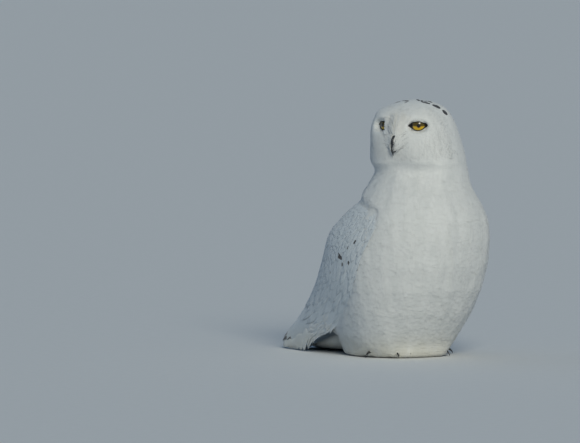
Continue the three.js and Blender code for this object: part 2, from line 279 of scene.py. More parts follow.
def even_out(mesh, values, rounds):
    """Averages values with their neighbours' along the mesh's edges."""
    edges = np.empty(len(mesh.edges) * 2, np.int32)
    mesh.edges.foreach_get("vertices", edges)
    a, b = edges.reshape(-1, 2).T
    values = np.asarray(values, float)
    flat = values.reshape(len(values), -1)
    count = np.bincount(a, minlength=len(flat)) + np.bincount(b, minlength=len(flat)) + 1.0
    for _ in range(rounds):
        flat = np.stack(
            [
                (col + np.bincount(a, col[b], len(flat)) + np.bincount(b, col[a], len(flat))) / count
                for col in flat.T
            ],
            -1
        )
    return flat.reshape(values.shape)


def surface(mesh):
    return BVHTree.FromPolygons(coords(mesh).tolist(), triangles_of(mesh).tolist(), all_triangles=True)


def triangulate(points, faces):
    """The faces of a closed form as triangles that look outwards."""
    tris = []
    for f in faces:
        tris += [(f[0], f[1], f[2]), (f[0], f[2], f[3])] if len(f) == 4 else [tuple(f)]
    tris = np.array(tris)
    if np.sum(np.cross(points[tris[:, 0]], points[tris[:, 1]]) * points[tris[:, 2]]) < 0:
        tris = tris[:, ::-1]
    return tris


def keep_in_box(points):
    low, high = (np.array(v) for v in SOLID_BOX)
    return np.clip(points, low + (0, 0, 0.0003), high)


def grid_faces(rows, columns, closed=False):
    """Faces of a grid of points, row by row."""
    wide = columns if closed else columns - 1
    r, c = (v.ravel() for v in np.meshgrid(np.arange(rows - 1), np.arange(wide), indexing="ij"))
    n = (c + 1) % columns
    return np.stack((r * columns + c, r * columns + n, (r + 1) * columns + n, (r + 1) * columns + c), -1)


# ---------------------------------------------------------------------------
# Building node trees
# ---------------------------------------------------------------------------
class Maker:
    """Adds nodes to a tree and joins them up."""

    def __init__(self, tree):
        self.tree = tree

    def add(self, kind, feeds=None, **settings):
        node = self.tree.nodes.new(kind)
        for key, value in settings.items():
            setattr(node, key, value)
        for key, value in (feeds or {}).items():
            live = [s for s in node.inputs if s.enabled]
            socket = live[key] if isinstance(key, int) else next(s for s in live if s.name == key)
            self.feed(socket, value)
        return node

    def feed(self, socket, value):
        if isinstance(value, bpy.types.Node):
            value = next(s for s in value.outputs if s.enabled)
        if isinstance(value, bpy.types.NodeSocket):
            self.tree.links.new(value, socket)
        else:
            socket.default_value = value

    def noise(self, where, scale, detail, **feeds):
        feeds = {"Vector": where, "Scale": scale, "Detail": detail, **feeds}
        return self.add("ShaderNodeTexNoise", feeds).outputs[0]

    def measure(self, name):
        """A value that the mesh carries under this name."""
        return self.add("ShaderNodeAttribute", attribute_name=name).outputs["Fac"]

    def relief(self, shader, strength, distance, height):
        feeds = {"Strength": strength, "Distance": distance, "Height": height}
        self.feed(shader.inputs["Normal"], self.add("ShaderNodeBump", feeds))

    def math(self, operation, *values, clamp=False):
        return self.add("ShaderNodeMath", dict(enumerate(values)), operation=operation, use_clamp=clamp)

    def vector(self, operation, *values):
        node = self.add("ShaderNodeVectorMath", dict(enumerate(values)), operation=operation)
        return next(s for s in node.outputs if s.enabled)

    def mix(self, factor, a, b):
        """Blends two colours."""
        node = self.tree.nodes.new("ShaderNodeMix")
        node.data_type = "RGBA"
        live = [s for s in node.inputs if s.enabled]
        for socket, value in zip(live, (factor, a, b)):
            self.feed(socket, value)
        return next(s for s in node.outputs if s.enabled)

    def ramp(self, value, low, high, out_low=0.0, out_high=1.0):
        """Leads smoothly from one value to another between two readings."""
        node = self.add("ShaderNodeMapRange", interpolation_type="SMOOTHSTEP")
        live = [s for s in node.inputs if s.enabled]
        for socket, given in zip(live, (value, low, high, out_low, out_high)):
            self.feed(socket, given)
        return node.outputs[0]


def group_sockets(tree, inputs, outputs):
    for name, kind, value in inputs:
        socket = tree.interface.new_socket(name, in_out="INPUT", socket_type=kind)
        if value is not None:
            socket.default_value = value
    for name, kind in outputs:
        tree.interface.new_socket(name, in_out="OUTPUT", socket_type=kind)


# ---------------------------------------------------------------------------
# Finishes
# ---------------------------------------------------------------------------
def barbs_group():
    """Fine slanting barbs either side of a shaft, and soft mottling, from a feather's own coordinates."""
    found = bpy.data.node_groups.get("Barbs")
    if found:
        return found
    tree = bpy.data.node_groups.new("Barbs", "ShaderNodeTree")
    group_sockets(
        tree,
        (
            ("Barbs across", "NodeSocketFloat", 26.0), ("Slant", "NodeSocketFloat", 0.6),
            ("Shaft", "NodeSocketFloat", 0.05)
        ),
        (("Height", "NodeSocketFloat"), ("Edge mask", "NodeSocketFloat")),
    )
    m = Maker(tree)
    start, end = m.add("NodeGroupInput"), m.add("NodeGroupOutput")
    vane = m.add("ShaderNodeAttribute", attribute_name="vane")
    split = m.add("ShaderNodeSeparateXYZ", {"Vector": vane.outputs["Vector"]})
    along, across, chance = split.outputs[0], split.outputs[1], split.outputs[2]
    width = m.math("ABSOLUTE", across)
    wander = m.noise(m.add("ShaderNodeCombineXYZ", {0: along, 1: across, 2: chance}), 5.0, 2.0)
    lean = m.math("ADD", m.math("MULTIPLY", width, start.outputs["Slant"]), m.math("MULTIPLY", wander, 0.12))
    turns = m.math("MULTIPLY", start.outputs["Barbs across"], 2 * math.pi)
    wave = m.math("SINE", m.math("MULTIPLY", m.math("SUBTRACT", along, lean), turns))
    shaft = m.ramp(width, 0.0, start.outputs["Shaft"], 1.0, 0.0)
    m.feed(end.inputs["Height"], m.math("ADD", m.math("MULTIPLY", wave, 0.5), m.math("MULTIPLY", shaft, 1.4)))
    m.feed(end.inputs["Edge mask"], m.ramp(width, 0.55, 1.0))
    return tree


def new_material(name):
    material = bpy.data.materials.new(name)
    material.use_nodes = True
    tree = material.node_tree
    tree.nodes.clear()
    m = Maker(tree)
    shader = m.add("ShaderNodeBsdfPrincipled")
    m.add("ShaderNodeOutputMaterial", {"Surface": shader})
    return material, m, shader


def plumage_material(name, colours, barbs=26.0, slant=0.6, shaft=0.05, bump=0.35):
    """White feather: soft tone from feather to feather, dark where it is marked, with a bluish-grey painted
    shade towards the back.
    """
    white, shade, mark = colours
    material, m, shader = new_material(name)
    feeds = {"Barbs across": barbs, "Slant": slant, "Shaft": shaft}
    lines = m.add("ShaderNodeGroup", node_tree=barbs_group())
    for key, value in feeds.items():
        m.feed(lines.inputs[key], value)
    place = m.add("ShaderNodeTexCoord").outputs["Object"]
    split = m.add("ShaderNodeSeparateXYZ", {"Vector": place})
    drawn = m.vector("MULTIPLY", place, (1.0, 1.0, 0.22))
    cloud = m.noise(drawn, 70.0, 4.0, Roughness=0.6)
    uneven = m.math("MULTIPLY", m.ramp(cloud, 0.35, 0.7), 0.4)
    amount = m.math("ADD", uneven, m.math("MULTIPLY", m.measure("tone"), 0.25), clamp=True)
    # darker and yellower towards the floor
    yellower_near_floor = m.math(
        "MULTIPLY", m.ramp(split.outputs[2], 0.0, 0.05, 0.4, 0.0), m.ramp(cloud, 0.2, 0.6, 0.5, 1.0)
    )
    # bluish-grey painted shade towards the back, for the side that faces away from the light
    painted_shade_behind = m.ramp(split.outputs[1], -0.13, -0.03, 0.0, 0.3)
    with_shade_behind = m.mix(painted_shade_behind, m.mix(amount, white, shade), (0.36, 0.46, 0.55, 1))
    body = m.mix(yellower_near_floor, with_shade_behind, (0.60, 0.55, 0.40, 1))
    edge = m.mix(m.math("MULTIPLY", lines.outputs["Edge mask"], 0.12), body, (1, 1, 1, 1))
    # markings with a ragged edge
    ragged = m.math("MULTIPLY", m.math("SUBTRACT", m.noise(place, 900.0, 2.0), 0.5), 0.4)
    marked = m.ramp(m.math("ADD", m.measure("mark"), ragged), 0.2, 0.5)
    m.feed(shader.inputs["Base Color"], m.mix(marked, edge, mark))
    shader.inputs["Roughness"].default_value = 0.78
    shader.inputs["Specular IOR Level"].default_value = 0.25
    shader.inputs["Sheen Weight"].default_value = 0.25
    shader.inputs["Sheen Roughness"].default_value = 0.45
    m.relief(shader, bump, 0.0006, lines.outputs["Height"])
    return material


def down_material(name, colours):
    """The short down under the feathers."""
    white, shade, mark = colours
    material, m, shader = new_material(name)
    place = m.add("ShaderNodeTexCoord").outputs["Object"]
    cloud = m.noise(place, 30.0, 3.0)
    body = m.mix(m.math("MULTIPLY", m.ramp(cloud, 0.35, 0.7), 0.6), white, shade)
    m.feed(shader.inputs["Base Color"], m.mix(m.ramp(m.measure("mark"), 0.3, 0.7), body, mark))
    shader.inputs["Roughness"].default_value = 0.85
    shader.inputs["Sheen Weight"].default_value = 0.2
    m.relief(shader, 0.5, 0.0012, m.noise(place, 520.0, 5.0, Roughness=0.7))
    return material


def horn_material(name, dark, light, rough):
    """Bill and claw horn: fine growth lines and lighter, worn patches."""
    material, m, shader = new_material(name)
    place = m.add("ShaderNodeTexCoord").outputs["Object"]
    grain = m.noise(place, 260.0, 4.0, Roughness=0.6)
    feeds = {"Vector": place, "Scale": 240.0, "Distortion": 3.0, "Detail": 2.0}
    lines = m.add("ShaderNodeTexWave", feeds, bands_direction="Z")
    wear = m.math("MULTIPLY", m.ramp(grain, 0.45, 0.75), 0.6)
    m.feed(shader.inputs["Base Color"], m.mix(wear, dark, light))
    m.feed(shader.inputs["Roughness"], m.ramp(grain, 0.2, 0.8, rough - 0.08, rough + 0.12))
    shader.inputs["Coat Weight"].default_value = 0.3
    shader.inputs["Coat Roughness"].default_value = 0.2
    m.relief(shader, 0.25, 0.0003, lines.outputs[0])
    return material


def eye_material(name, low, high):
    """Yellow iris with radial fibres and a painted shade of the brow that darkens it upwards from low to
    high, a black pupil and a wet coat.
    """
    material, m, shader = new_material(name)
    black, socket = (0.002, 0.002, 0.002, 1), (0.012, 0.010, 0.010, 1)
    spot = m.add("ShaderNodeAttribute", attribute_name="gaze")
    h, v, front = m.add("ShaderNodeSeparateXYZ", {"Vector": spot.outputs["Vector"]}).outputs
    reach = m.math("SQRT", m.math("ADD", m.math("POWER", h, 2.0), m.math("POWER", v, 2.0)))
    turn = m.math("ARCTAN2", v, h)
    ring = m.add(
        "ShaderNodeCombineXYZ",
        {
            0: m.math("MULTIPLY", m.math("COSINE", turn), 3.0),
            1: m.math("MULTIPLY", m.math("SINE", turn), 3.0),
            2: m.math("MULTIPLY", reach, 0.22),
        },
    )
    fibres = m.noise(ring, 9.0, 4.0, Roughness=0.65)
    gold = m.mix(m.ramp(fibres, 0.3, 0.7), (0.58, 0.33, 0.006, 1), (0.80, 0.53, 0.012, 1))
    inner = m.mix(m.ramp(reach, 0.27, 0.5, 1.0, 0.0), gold, (0.50, 0.27, 0.008, 1))
    # painted shade: the brow's shadow painted over the upper iris
    upper = m.mix(m.math("MULTIPLY", m.ramp(v, low, high), 0.93), inner, (0.045, 0.034, 0.006, 1))
    limbus = m.mix(m.ramp(reach, 0.82, 0.99), upper, (0.02, 0.014, 0.008, 1))
    pupil = m.mix(m.ramp(reach, 0.26, 0.30, 1.0, 0.0), limbus, black)
    ball = m.mix(m.ramp(reach, 0.99, 1.04), pupil, socket)
    m.feed(shader.inputs["Base Color"], m.mix(m.math("LESS_THAN", front, 0.0), ball, socket))
    shader.inputs["Roughness"].default_value = 0.35
    shader.inputs["Specular IOR Level"].default_value = 0.3
    shader.inputs["Coat Weight"].default_value = 0.75
    shader.inputs["Coat Roughness"].default_value = 0.02
    m.relief(shader, 0.15, 0.0002, fibres)
    return material


def lid_material():
    """Bare black rim that turns to down away from the eye."""
    material, m, shader = new_material("owl lid")
    rim = m.measure("rim")
    m.feed(shader.inputs["Base Color"], m.mix(rim, (0.62, 0.64, 0.64, 1), (0.010, 0.010, 0.011, 1)))
    m.feed(shader.inputs["Roughness"], m.ramp(rim, 0.0, 1.0, 0.85, 0.5))
    shader.inputs["Specular IOR Level"].default_value = 0.3
    place = m.add("ShaderNodeTexCoord").outputs["Object"]
    m.relief(shader, 0.4, 0.0004, m.noise(place, 900.0, 3.0))
    return material


def plumage_colours():
    sizes = bpy.context.scene.owl_sizes
    return tuple((*tuple(c)[:3], 1.0) for c in (sizes.white, sizes.shade, sizes.mark))


# ---------------------------------------------------------------------------
# Markings: small dark bars, the same on skin and coat
# ---------------------------------------------------------------------------
# on the head, by its side, forward and height: from, to, half width, how dark
CROWN_BARS = (
    ((-15, 7, 409), (-9, 10, 409), 1.7, 1.0), (
        (-8, 10, 409), (-4.5, 13.5, 408), 2.1, 1.0
    ), ((-5, 21, 406), (-2, 19, 407), 1.3, 0.7),
    ((5, -1, 410), (12, 6, 409), 1.9, 1.0), ((14, 0, 409), (19.5, 10, 407), 1.7, 1.0), (
        (20.5, 3, 407.5), (22, -3, 407.5), 1.7, 1.0
    ),
    (
        (24, -6, 406.5), (28, -3, 405.5), 3.2, 1.0
    ), ((21, 9.5, 406.8), (30, 7, 403.7), 2.8, 1.0), ((39, 4, 403.8), (45, 1.7, 399.5), 4.4, 1.0),
    (
        (53, -2.5, 394), (56.5, -5, 391.2), 4.2, 1.0
    ), ((49, -22, 387), (51, -24, 385.5), 1.3, 0.7), ((54.5, -24, 380), (56, -25, 378), 1.4, 0.9),
)
# on the right wing, by the bird's own millimetres
WING_BARS = (
    (
        (-114, -15, 184), (-113.5, -17.5, 189), 1.7, 1.0
    ), ((-115, 2, 175), (-114.7, 0, 179), 1.4, 0.6), ((-114, 28, 165), (-115, 18.5, 159), 2.7, 1.0),
    (
        (-116, -2.5, 155.5), (-115.7, -3, 151.3), 1.7, 0.95
    ), ((-115, 17, 147.8), (
        -115.4, 15.8, 152.2
    ), 1.5, 0.9), ((-108, 59, 133), (-108.5, 58.7, 136.5), 1.2, 0.55),
)
BARS = []


def place_bars(skin):
    """Sets every bar on the surface: those above, their like opposite, and small ones over nape and back."""
    rng = np.random.default_rng(5)
    found = []
    for a, b, half, depth in CROWN_BARS:
        a, b = np.array(a, float), np.array(b, float)
        found.append((from_head(*a), from_head(*b), half, depth))
        if a[0] > 12:
            slip = rng.uniform(-3, 3, 3)
            found.append(
                (
                    from_head(*((a + slip) * (-1, 1, 1))), from_head(*((b + slip) * (-1, 1, 1))),
                    half * rng.uniform(0.7, 1.1), depth * 0.9
                )
            )
    for a, b, half, depth in WING_BARS:
        a, b = np.array(a, float), np.array(b, float)
        found.append((a, b, half, depth))
        slip = rng.uniform(-1, 1, 3) * (0, 14, 9)
        found.append(((a + slip) * (-1, 1, 1), (b + slip) * (-1, 1, 1), half * rng.uniform(0.7, 1.1), depth))
    for _ in range(16):
        place = np.array((rng.uniform(-48, 48), rng.uniform(-66, -25), rng.uniform(352, 396)))
        across = np.array((rng.uniform(1.2, 2.6), 0, rng.uniform(-0.5, 0.5)))
        found.append(
            (
                from_head(*(place - across)), from_head(*(place + across)), rng.uniform(0.8, 1.2),
                rng.uniform(0.4, 0.9)
            )
        )
    for _ in range(18):
        place = np.array((rng.uniform(-42, 42), rng.uniform(60, 130), rng.uniform(120, 245)))
        across = np.array((rng.uniform(1.5, 3.0), 0, rng.uniform(-0.8, 0.8)))
        found.append((place - across, place + across, rng.uniform(0.9, 1.5), rng.uniform(0.4, 0.9)))
    BARS.clear()
    for a, b, half, depth in found:
        a, b = (to_bird(np.array(skin.find_nearest(Vector(to_frame(v)))[0])) for v in (a, b))
        out = np.array(skin.find_nearest(Vector(to_frame((a + b) / 2)))[1])
        lie = b - a - (b - a) @ out * out
        reach = np.linalg.norm(lie)
        BARS.append(((a + b) / 2, (reach / 2 + half * 0.6, half), depth, lie / max(reach, 1e-6), out))


def marks_at(points):
    """How dark the markings are at these places, from 0 to 1, however far the feather stands off the skin."""
    dark = np.zeros(len(points))
    for centre, (half_long, half_wide), depth, lie, out in BARS:
        near = np.nonzero(np.sum((points - centre) ** 2, -1) < (1.5 * half_long + 9) ** 2)[0]
        away = points[near] - centre
        rise = away @ out
        away = away - rise[:, None] * out
        along = away @ lie
        across = np.sqrt(np.maximum(np.sum(away**2, -1) - along**2, 0))
        shape = np.sqrt((along / half_long) ** 2 + (across / half_wide) ** 2)
        dark[near] = np.maximum(dark[near], depth * (1 - ease(0.8, 1.35, shape)) * (np.abs(rise) < 9))
    return dark


# ---------------------------------------------------------------------------
# The lie of the plumage
# ---------------------------------------------------------------------------
def wing_points(t, s, side=1):
    """A place on the folded wing's outer face: t from shoulder to tip, s from lower to upper edge."""
    t, s = np.broadcast_arrays(np.asarray(t, float), np.asarray(s, float))
    lead, ridge, trail = (follow(WING_KEYS[key], t) for key in ("lead", "ridge", "trail"))
    control = 2 * ridge - 0.5 * lead - 0.5 * trail
    s = s[..., None]
    out = (1 - s) ** 2 * lead + 2 * s * (1 - s) * control + s**2 * trail
    return out * (side, 1, 1)


def wing_ways(t, s, side=1):
    """Directions along and across the wing there, and out of it."""
    e = 1e-3
    along = unit(wing_points(np.add(t, e), s, side) - wing_points(np.subtract(t, e), s, side))
    over = wing_points(t, np.add(s, e), side) - wing_points(t, np.subtract(s, e), side)
    width = np.linalg.norm(over, axis=-1) / (2 * e)
    out = unit(np.cross(over, along)) * side
    flip = np.sign(out[..., :1] * side + 1e-6)
    return along, unit(over), width, out * flip


def eye_frame(side):
    """The eye's centre, and its sideways, upward and outward ways, on the bird in mm."""
    centre = from_head(side * EYE_PLACE[0], EYE_PLACE[1], EYE_PLACE[2])
    level = head_way(side * math.sin(EYE_OUTWARD), math.cos(EYE_OUTWARD), 0.0)
    gaze = math.cos(EYE_DOWN) * level - math.sin(EYE_DOWN) * np.array((0.0, 0.0, 1.0))
    up = math.sin(EYE_DOWN) * level + math.cos(EYE_DOWN) * np.array((0.0, 0.0, 1.0))
    outer = head_way(side * math.cos(EYE_OUTWARD), -math.sin(EYE_OUTWARD), 0.0)
    return centre, outer, up, gaze


def lie_of_plumage(points, out, head, wing, foot):
    """The way the feathers point, on the surface, from the place and the shares of head, wing and foot."""
    x, y, z = points.T
    way = np.broadcast_to(unit(np.array((0.0, 0.42, -1.0))), points.shape).copy()
    # wings: along to the tips
    t = np.clip((258 - z) / 254, 0, 1)
    ridge = WING_KEYS["ridge"]
    along = unit(follow(ridge, np.clip(t + 0.04, 0, 1)) - follow(ridge, np.clip(t - 0.04, 0, 1)))
    along[:, 0] *= np.sign(x)
    way = way * (1 - wing[:, None]) + along * wing[:, None]
    # head: back over the crown and down the nape
    side, forward, height = to_head(points)
    fan = unit(np.stack((0.7 * side, forward - BILL_ROOT[1], height - BILL_ROOT[2]), -1))
    back = ease(10, -60, forward)
    fan = fan + np.stack((0 * back, -0.6 * back, -1.5 * back), -1)
    # disc: out from each eye, forward over the bill between them and down the chin
    for s in (-1, 1):
        centre = np.array((s * 25.0, 44.0, 371.0))
        away = np.stack((side, forward, height), -1) - centre
        reach = np.linalg.norm(away, axis=-1)
        near = (1 - ease(26, 52, reach)) * ease(-3.0, 3.0, s * side)
        away = unit(away)
        inward = np.clip(-s * away[:, 0], 0, 1) ** 1.5
        away = unit(away + inward[:, None] * np.array((s * 0.45, 0.3, -1.1)))
        fan = unit(fan) * (1 - near[:, None]) + away * near[:, None]
    chin = np.exp(-((side / 22) ** 2)) * ease(345, 330, height) * ease(10, 35, forward)
    fan = fan * (1 - chin[:, None]) + np.array((0.0, -0.15, -1.0)) * chin[:, None]
    fan = head_way(*unit(fan).T)
    way = way * (1 - head[:, None]) + fan * head[:, None]
    toe = unit(np.stack((x - np.sign(x) * 38, y - 18, np.full(len(x), -6.0)), -1))
    way = way * (1 - foot[:, None]) + toe * foot[:, None]
    way = way - np.sum(way * out, -1, keepdims=True) * out
    return unit(way)


# ---------------------------------------------------------------------------
# Feathers
# ---------------------------------------------------------------------------
def add_shape(store, name, points, faces, along_across, closed=False):
    """A feather of length 1 along x; its z is how far it rises off the skin."""
    points = np.asarray(points, float)
    mesh = mesh_from(name, points, faces)
    keep(mesh, "rise", points[:, 2])
    vane = np.zeros((len(points), 3))
    vane[:, :2] = along_across
    keep(mesh, "vane", vane, "FLOAT_VECTOR")
    if (sum_out(mesh) if closed else sum(p.normal.z * p.area for p in mesh.polygons)) < 0:
        mesh.flip_normals()
    patch = np.stack((points[:, 0] - 0.5, points[:, 1]), -1)
    keep(mesh, "patch", at_corners(mesh, patch), "FLOAT2", "CORNER")
    store.objects.link(bpy.data.objects.new(name, mesh))


def contour_feather(store, name, rng, teeth, width, lift=0.062, cup=0.03, ragged=0.16):
    """A soft body feather: a cupped leaf with a frayed edge."""
    spine_x = np.array((0.0, 0.25, 0.5, 0.74, 0.93))

    def rise(x, y):
        return 0.022 + lift * x**1.2 - cup * (np.abs(y) / width) ** 2 * (0.3 + 0.7 * x)

    def half(x):
        return width * np.clip(np.sin(math.pi * np.clip(x, 0, 1) ** 0.72), 0, 1) ** 0.62

    points = [(x, 0.0, rise(x, 0.0) + 0.004) for x in spine_x]
    across = [0.0] * len(spine_x)
    faces = []
    for hand in (-1, 1):
        outline = []
        for k in range(teeth):
            x = 0.10 + 0.84 * (k / (teeth - 1)) ** 0.85
            slip = rng.uniform(-0.02, 0.02)
            inner = half(x) * (1 - rng.uniform(0.5, 1.0) * ragged) * 0.92 + 0.004
            reach = rng.uniform(0.6, 1.0)
            outer = half(min(x + 0.05, 0.985)) * (1 + 0.06 * reach) + 0.008
            outline.append((x + slip, hand * inner))
            outline.append((min(x + 0.085 + slip + 0.03 * reach, 1.0), hand * outer))
        outline = [(0.0, 0.0)] + outline
        first = len(points)
        for x, y in outline[1:]:
            points.append((x, y, rise(x, y) + rng.uniform(-0.004, 0.005)))
            across.append(hand * min(1.0, abs(y) / width))
        index = [0] + list(range(first, first + len(outline) - 1))
        near = [int(np.argmin(np.abs(spine_x - x + 0.04))) for x, _ in outline]
        near = list(np.maximum.accumulate(near))
        near[-1] = len(spine_x) - 1
        for k in range(len(index) - 1):
            a, b, i, j = index[k], index[k + 1], near[k], near[k + 1]
            if len({a, b, i}) == 3:
                faces.append((a, b, i)[:: -hand])
            for n in range(i, j):
                faces.append((b, n + 1, n)[:: -hand])
    points = np.array(points)
    along = np.clip(points[:, 0], 0, 1)
    add_shape(store, name, points, faces, np.stack((along, across), -1))


def hair_tuft(store, name, rng, hairs, width, lift=0.12, spread=0.12):
    """A few fine flattened hairs from one root."""
    points, faces, vane = [], [], []
    for h in range(hairs):
        aim = (h - (hairs - 1) / 2) * spread + rng.uniform(-0.03, 0.03)
        reach = 1 - 0.22 * abs(h - (hairs - 1) / 2) / max(hairs / 2, 1) - rng.uniform(0, 0.08)
        start = len(points)
        for x, w in ((0.0, 0.6), (0.45, 1.0)):
            for y, z in ((-1, 0), (0, 1), (1, 0)):
                points.append(
                    (x * reach, aim * x**1.3 + y * w * width / 2, 0.02 + lift * x * reach + z * 0.02)
                )
                vane.append((x, y * 0.9))
        points.append((reach, aim * 1.15, 0.02 + lift * reach))
        vane.append((1.0, 0.0))
        sides = ((0, 3, 4, 1), (1, 4, 5, 2), (2, 5, 3, 0), (3, 6, 4), (4, 6, 5), (5, 6, 3))
        faces += [tuple(start + n for n in side) for side in sides]
    add_shape(store, name, points, faces, vane, closed=True)


def spread_tree():
    """Feathers spread over the skin, turned to its lie, bent round it and made one mesh."""
    found = bpy.data.node_groups.get("Plumage over the skin")
    if found:
        return found
    tree = bpy.data.node_groups.new("Plumage over the skin", "GeometryNodeTree")
    group_sockets(
        tree,
        (
            ("Skin", "NodeSocketGeometry", None),
            ("Feathers", "NodeSocketCollection", None),
            ("Cover", "NodeSocketString", ""),
            ("Spacing", "NodeSocketFloat", 0.004),
            ("Density", "NodeSocketFloat", 60000.0),
            ("Lift", "NodeSocketFloat", 1.0),
            ("Toss", "NodeSocketFloat", 0.14),
            ("Unevenness", "NodeSocketFloat", 0.18),
            ("Patch", "NodeSocketFloat", 0.003),
            ("Seed", "NodeSocketInt", 1),
            ("Material", "NodeSocketMaterial", None),
        ),
        (("Coat", "NodeSocketGeometry"),),
    )
    m = Maker(tree)
    start, end = m.add("NodeGroupInput"), m.add("NodeGroupOutput")
    g = start.outputs

    def named(name, kind="FLOAT"):
        return m.add("GeometryNodeInputNamedAttribute", {"Name": name}, data_type=kind).outputs[0]

    def chance(low, high, step):
        feeds = {"Min": low, "Max": high, "Seed": m.math("ADD", g["Seed"], float(step))}
        return m.add("FunctionNodeRandomValue", feeds, data_type="FLOAT")

    def store(geometry, name, value, kind="FLOAT", domain="POINT"):
        feeds = {"Geometry": geometry, "Name": name, "Value": value}
        return m.add("GeometryNodeStoreNamedAttribute", feeds, data_type=kind, domain=domain)

    def scaled(vector, scale):
        return m.add("ShaderNodeVectorMath", {"Vector": vector, "Scale": scale}, operation="SCALE").outputs[0]

    # roots, with each feather's size, tone and place on the map
    feeds = {
        "Mesh": g["Skin"],
        "Distance Min": g["Spacing"],
        "Density Max": g["Density"],
        "Density Factor": named(g["Cover"]),
        "Seed": g["Seed"],
    }
    roots = m.add("GeometryNodeDistributePointsOnFaces", feeds, distribute_method="POISSON")
    uneven = m.math("MULTIPLY", g["Unevenness"], chance(-1.0, 1.0, 11))
    size = m.math("MULTIPLY", named("long"), m.math("ADD", 1.0, uneven))
    held = store(roots.outputs["Points"], "size", size)
    held = store(held, "tone", chance(0.0, 1.0, 23))
    held = store(held, "root", named("OFBake", "FLOAT_VECTOR"), "FLOAT_VECTOR")
    # turned to the lie, each a little off it
    ways = {0: named("lie", "FLOAT_VECTOR"), 1: named("flow", "FLOAT_VECTOR")}
    turn = m.add("FunctionNodeAxesToRotation", ways, primary_axis="Z", secondary_axis="X")
    toss = m.math("MULTIPLY", g["Toss"], chance(-1.0, 1.0, 37))
    off = m.add("FunctionNodeEulerToRotation", {0: m.add("ShaderNodeCombineXYZ", {2: toss})})
    turned = m.add("FunctionNodeRotateRotation", {0: turn, 1: off}, rotation_space="LOCAL")
    # one of the shapes on each root
    feeds = {"Collection": g["Feathers"], "Separate Children": True, "Reset Children": True}
    kinds = m.add("GeometryNodeCollectionInfo", feeds)
    count = m.add(
        "GeometryNodeAttributeDomainSize", {"Geometry": kinds}, component="INSTANCES"
    ).outputs["Instance Count"]
    pick = m.math("FLOOR", m.math("MULTIPLY", chance(0.0, 0.9999, 53), count))
    wide = m.math("MULTIPLY", named("size"), named("wide"))
    scale = m.add("ShaderNodeCombineXYZ", {0: named("size"), 1: wide, 2: named("size")})
    feeds = {
        "Points": held,
        "Instance": kinds,
        "Pick Instance": True,
        "Instance Index": pick,
        "Rotation": turned,
        "Scale": scale,
    }
    coat = m.add("GeometryNodeRealizeInstances", {"Geometry": m.add("GeometryNodeInstanceOnPoints", feeds)})
    # bent round the skin, as high off it as the shape says
    place = m.add("GeometryNodeInputPosition")
    feeds = {0: g["Skin"], "Sample Position": place}
    near = m.add("GeometryNodeProximity", feeds, target_element="FACES")
    feeds = {"Mesh": g["Skin"], "Value": named("lie", "FLOAT_VECTOR"), "Sample Position": place}
    out = m.add("GeometryNodeSampleNearestSurface", feeds, data_type="FLOAT_VECTOR").outputs[0]
    rise = m.math("MULTIPLY", m.math("MULTIPLY", named("rise"), named("size")), g["Lift"])
    bent = m.vector("ADD", near.outputs["Position"], scaled(out, rise))
    bent = m.vector("MAXIMUM", bent, (-10.0, -10.0, 0.0004))
    coat = store(coat, "out", out, "FLOAT_VECTOR")
    coat = m.add("GeometryNodeSetPosition", {"Geometry": coat, "Position": bent})
    spot = scaled(named("patch", "FLOAT_VECTOR"), g["Patch"])
    spot = m.vector("ADD", named("root", "FLOAT_VECTOR"), spot)
    coat = store(coat, "OFBake", spot, "FLOAT2", "CORNER")
    coat = m.add("GeometryNodeSetMaterial", {"Geometry": coat, "Material": g["Material"]})
    m.feed(end.inputs["Coat"], coat)
    return tree


def soften(mesh, out, share):
    """Turns the shading of thin feathers towards the skin's, so that they read as one soft coat."""
    mesh.update()
    mesh.normals_split_custom_set_from_vertices(
        unit(normals(mesh) * (1 - share) + unit(out) * share).astype(np.float32)
    )


def lay_coat(name, store, material, soft, **values):
    """Runs the plumage tree on the skin and keeps the result as a plain mesh."""
    skin = bpy.data.objects["skin"]
    holder = link(bpy.data.objects.new("holder", skin.data))
    change = holder.modifiers.new("Plumage", "NODES")
    tree = spread_tree()
    change.node_group = tree
    values = {"Feathers": store, "Material": material, **values}
    for item in tree.interface.items_tree:
        if item.in_out == "INPUT" and item.name in values:
            change[item.identifier] = values[item.name]
    bpy.context.view_layer.update()
    graph = bpy.context.evaluated_depsgraph_get()
    mesh = bpy.data.meshes.new_from_object(holder.evaluated_get(graph), depsgraph=graph)
    mesh.name = name
    holder.modifiers.remove(change)
    bpy.data.objects.remove(holder)
    points = keep_in_box(coords(mesh))
    set_coords(mesh, points)
    bird = to_bird(points)
    dark = marks_at(bird)
    chance = read(mesh, "tone", 1)
    vane = read(mesh, "vane", 3)
    vane[:, 2] = chance * TONE_STEP
    out = read(mesh, "out", 3)
    kept = ("position", "OFBake", "tone", "sharp_face", "material_index", "sharp_edge")
    for attribute in [a.name for a in mesh.attributes if not a.is_internal and not a.name.startswith(".")]:
        if attribute not in kept:
            mesh.attributes.remove(mesh.attributes[attribute])
    keep(mesh, "vane", vane, "FLOAT_VECTOR")
    keep(mesh, "mark", dark)
    soften(mesh, out, soft)
    give_place(link(bpy.data.objects.new(name, mesh)))


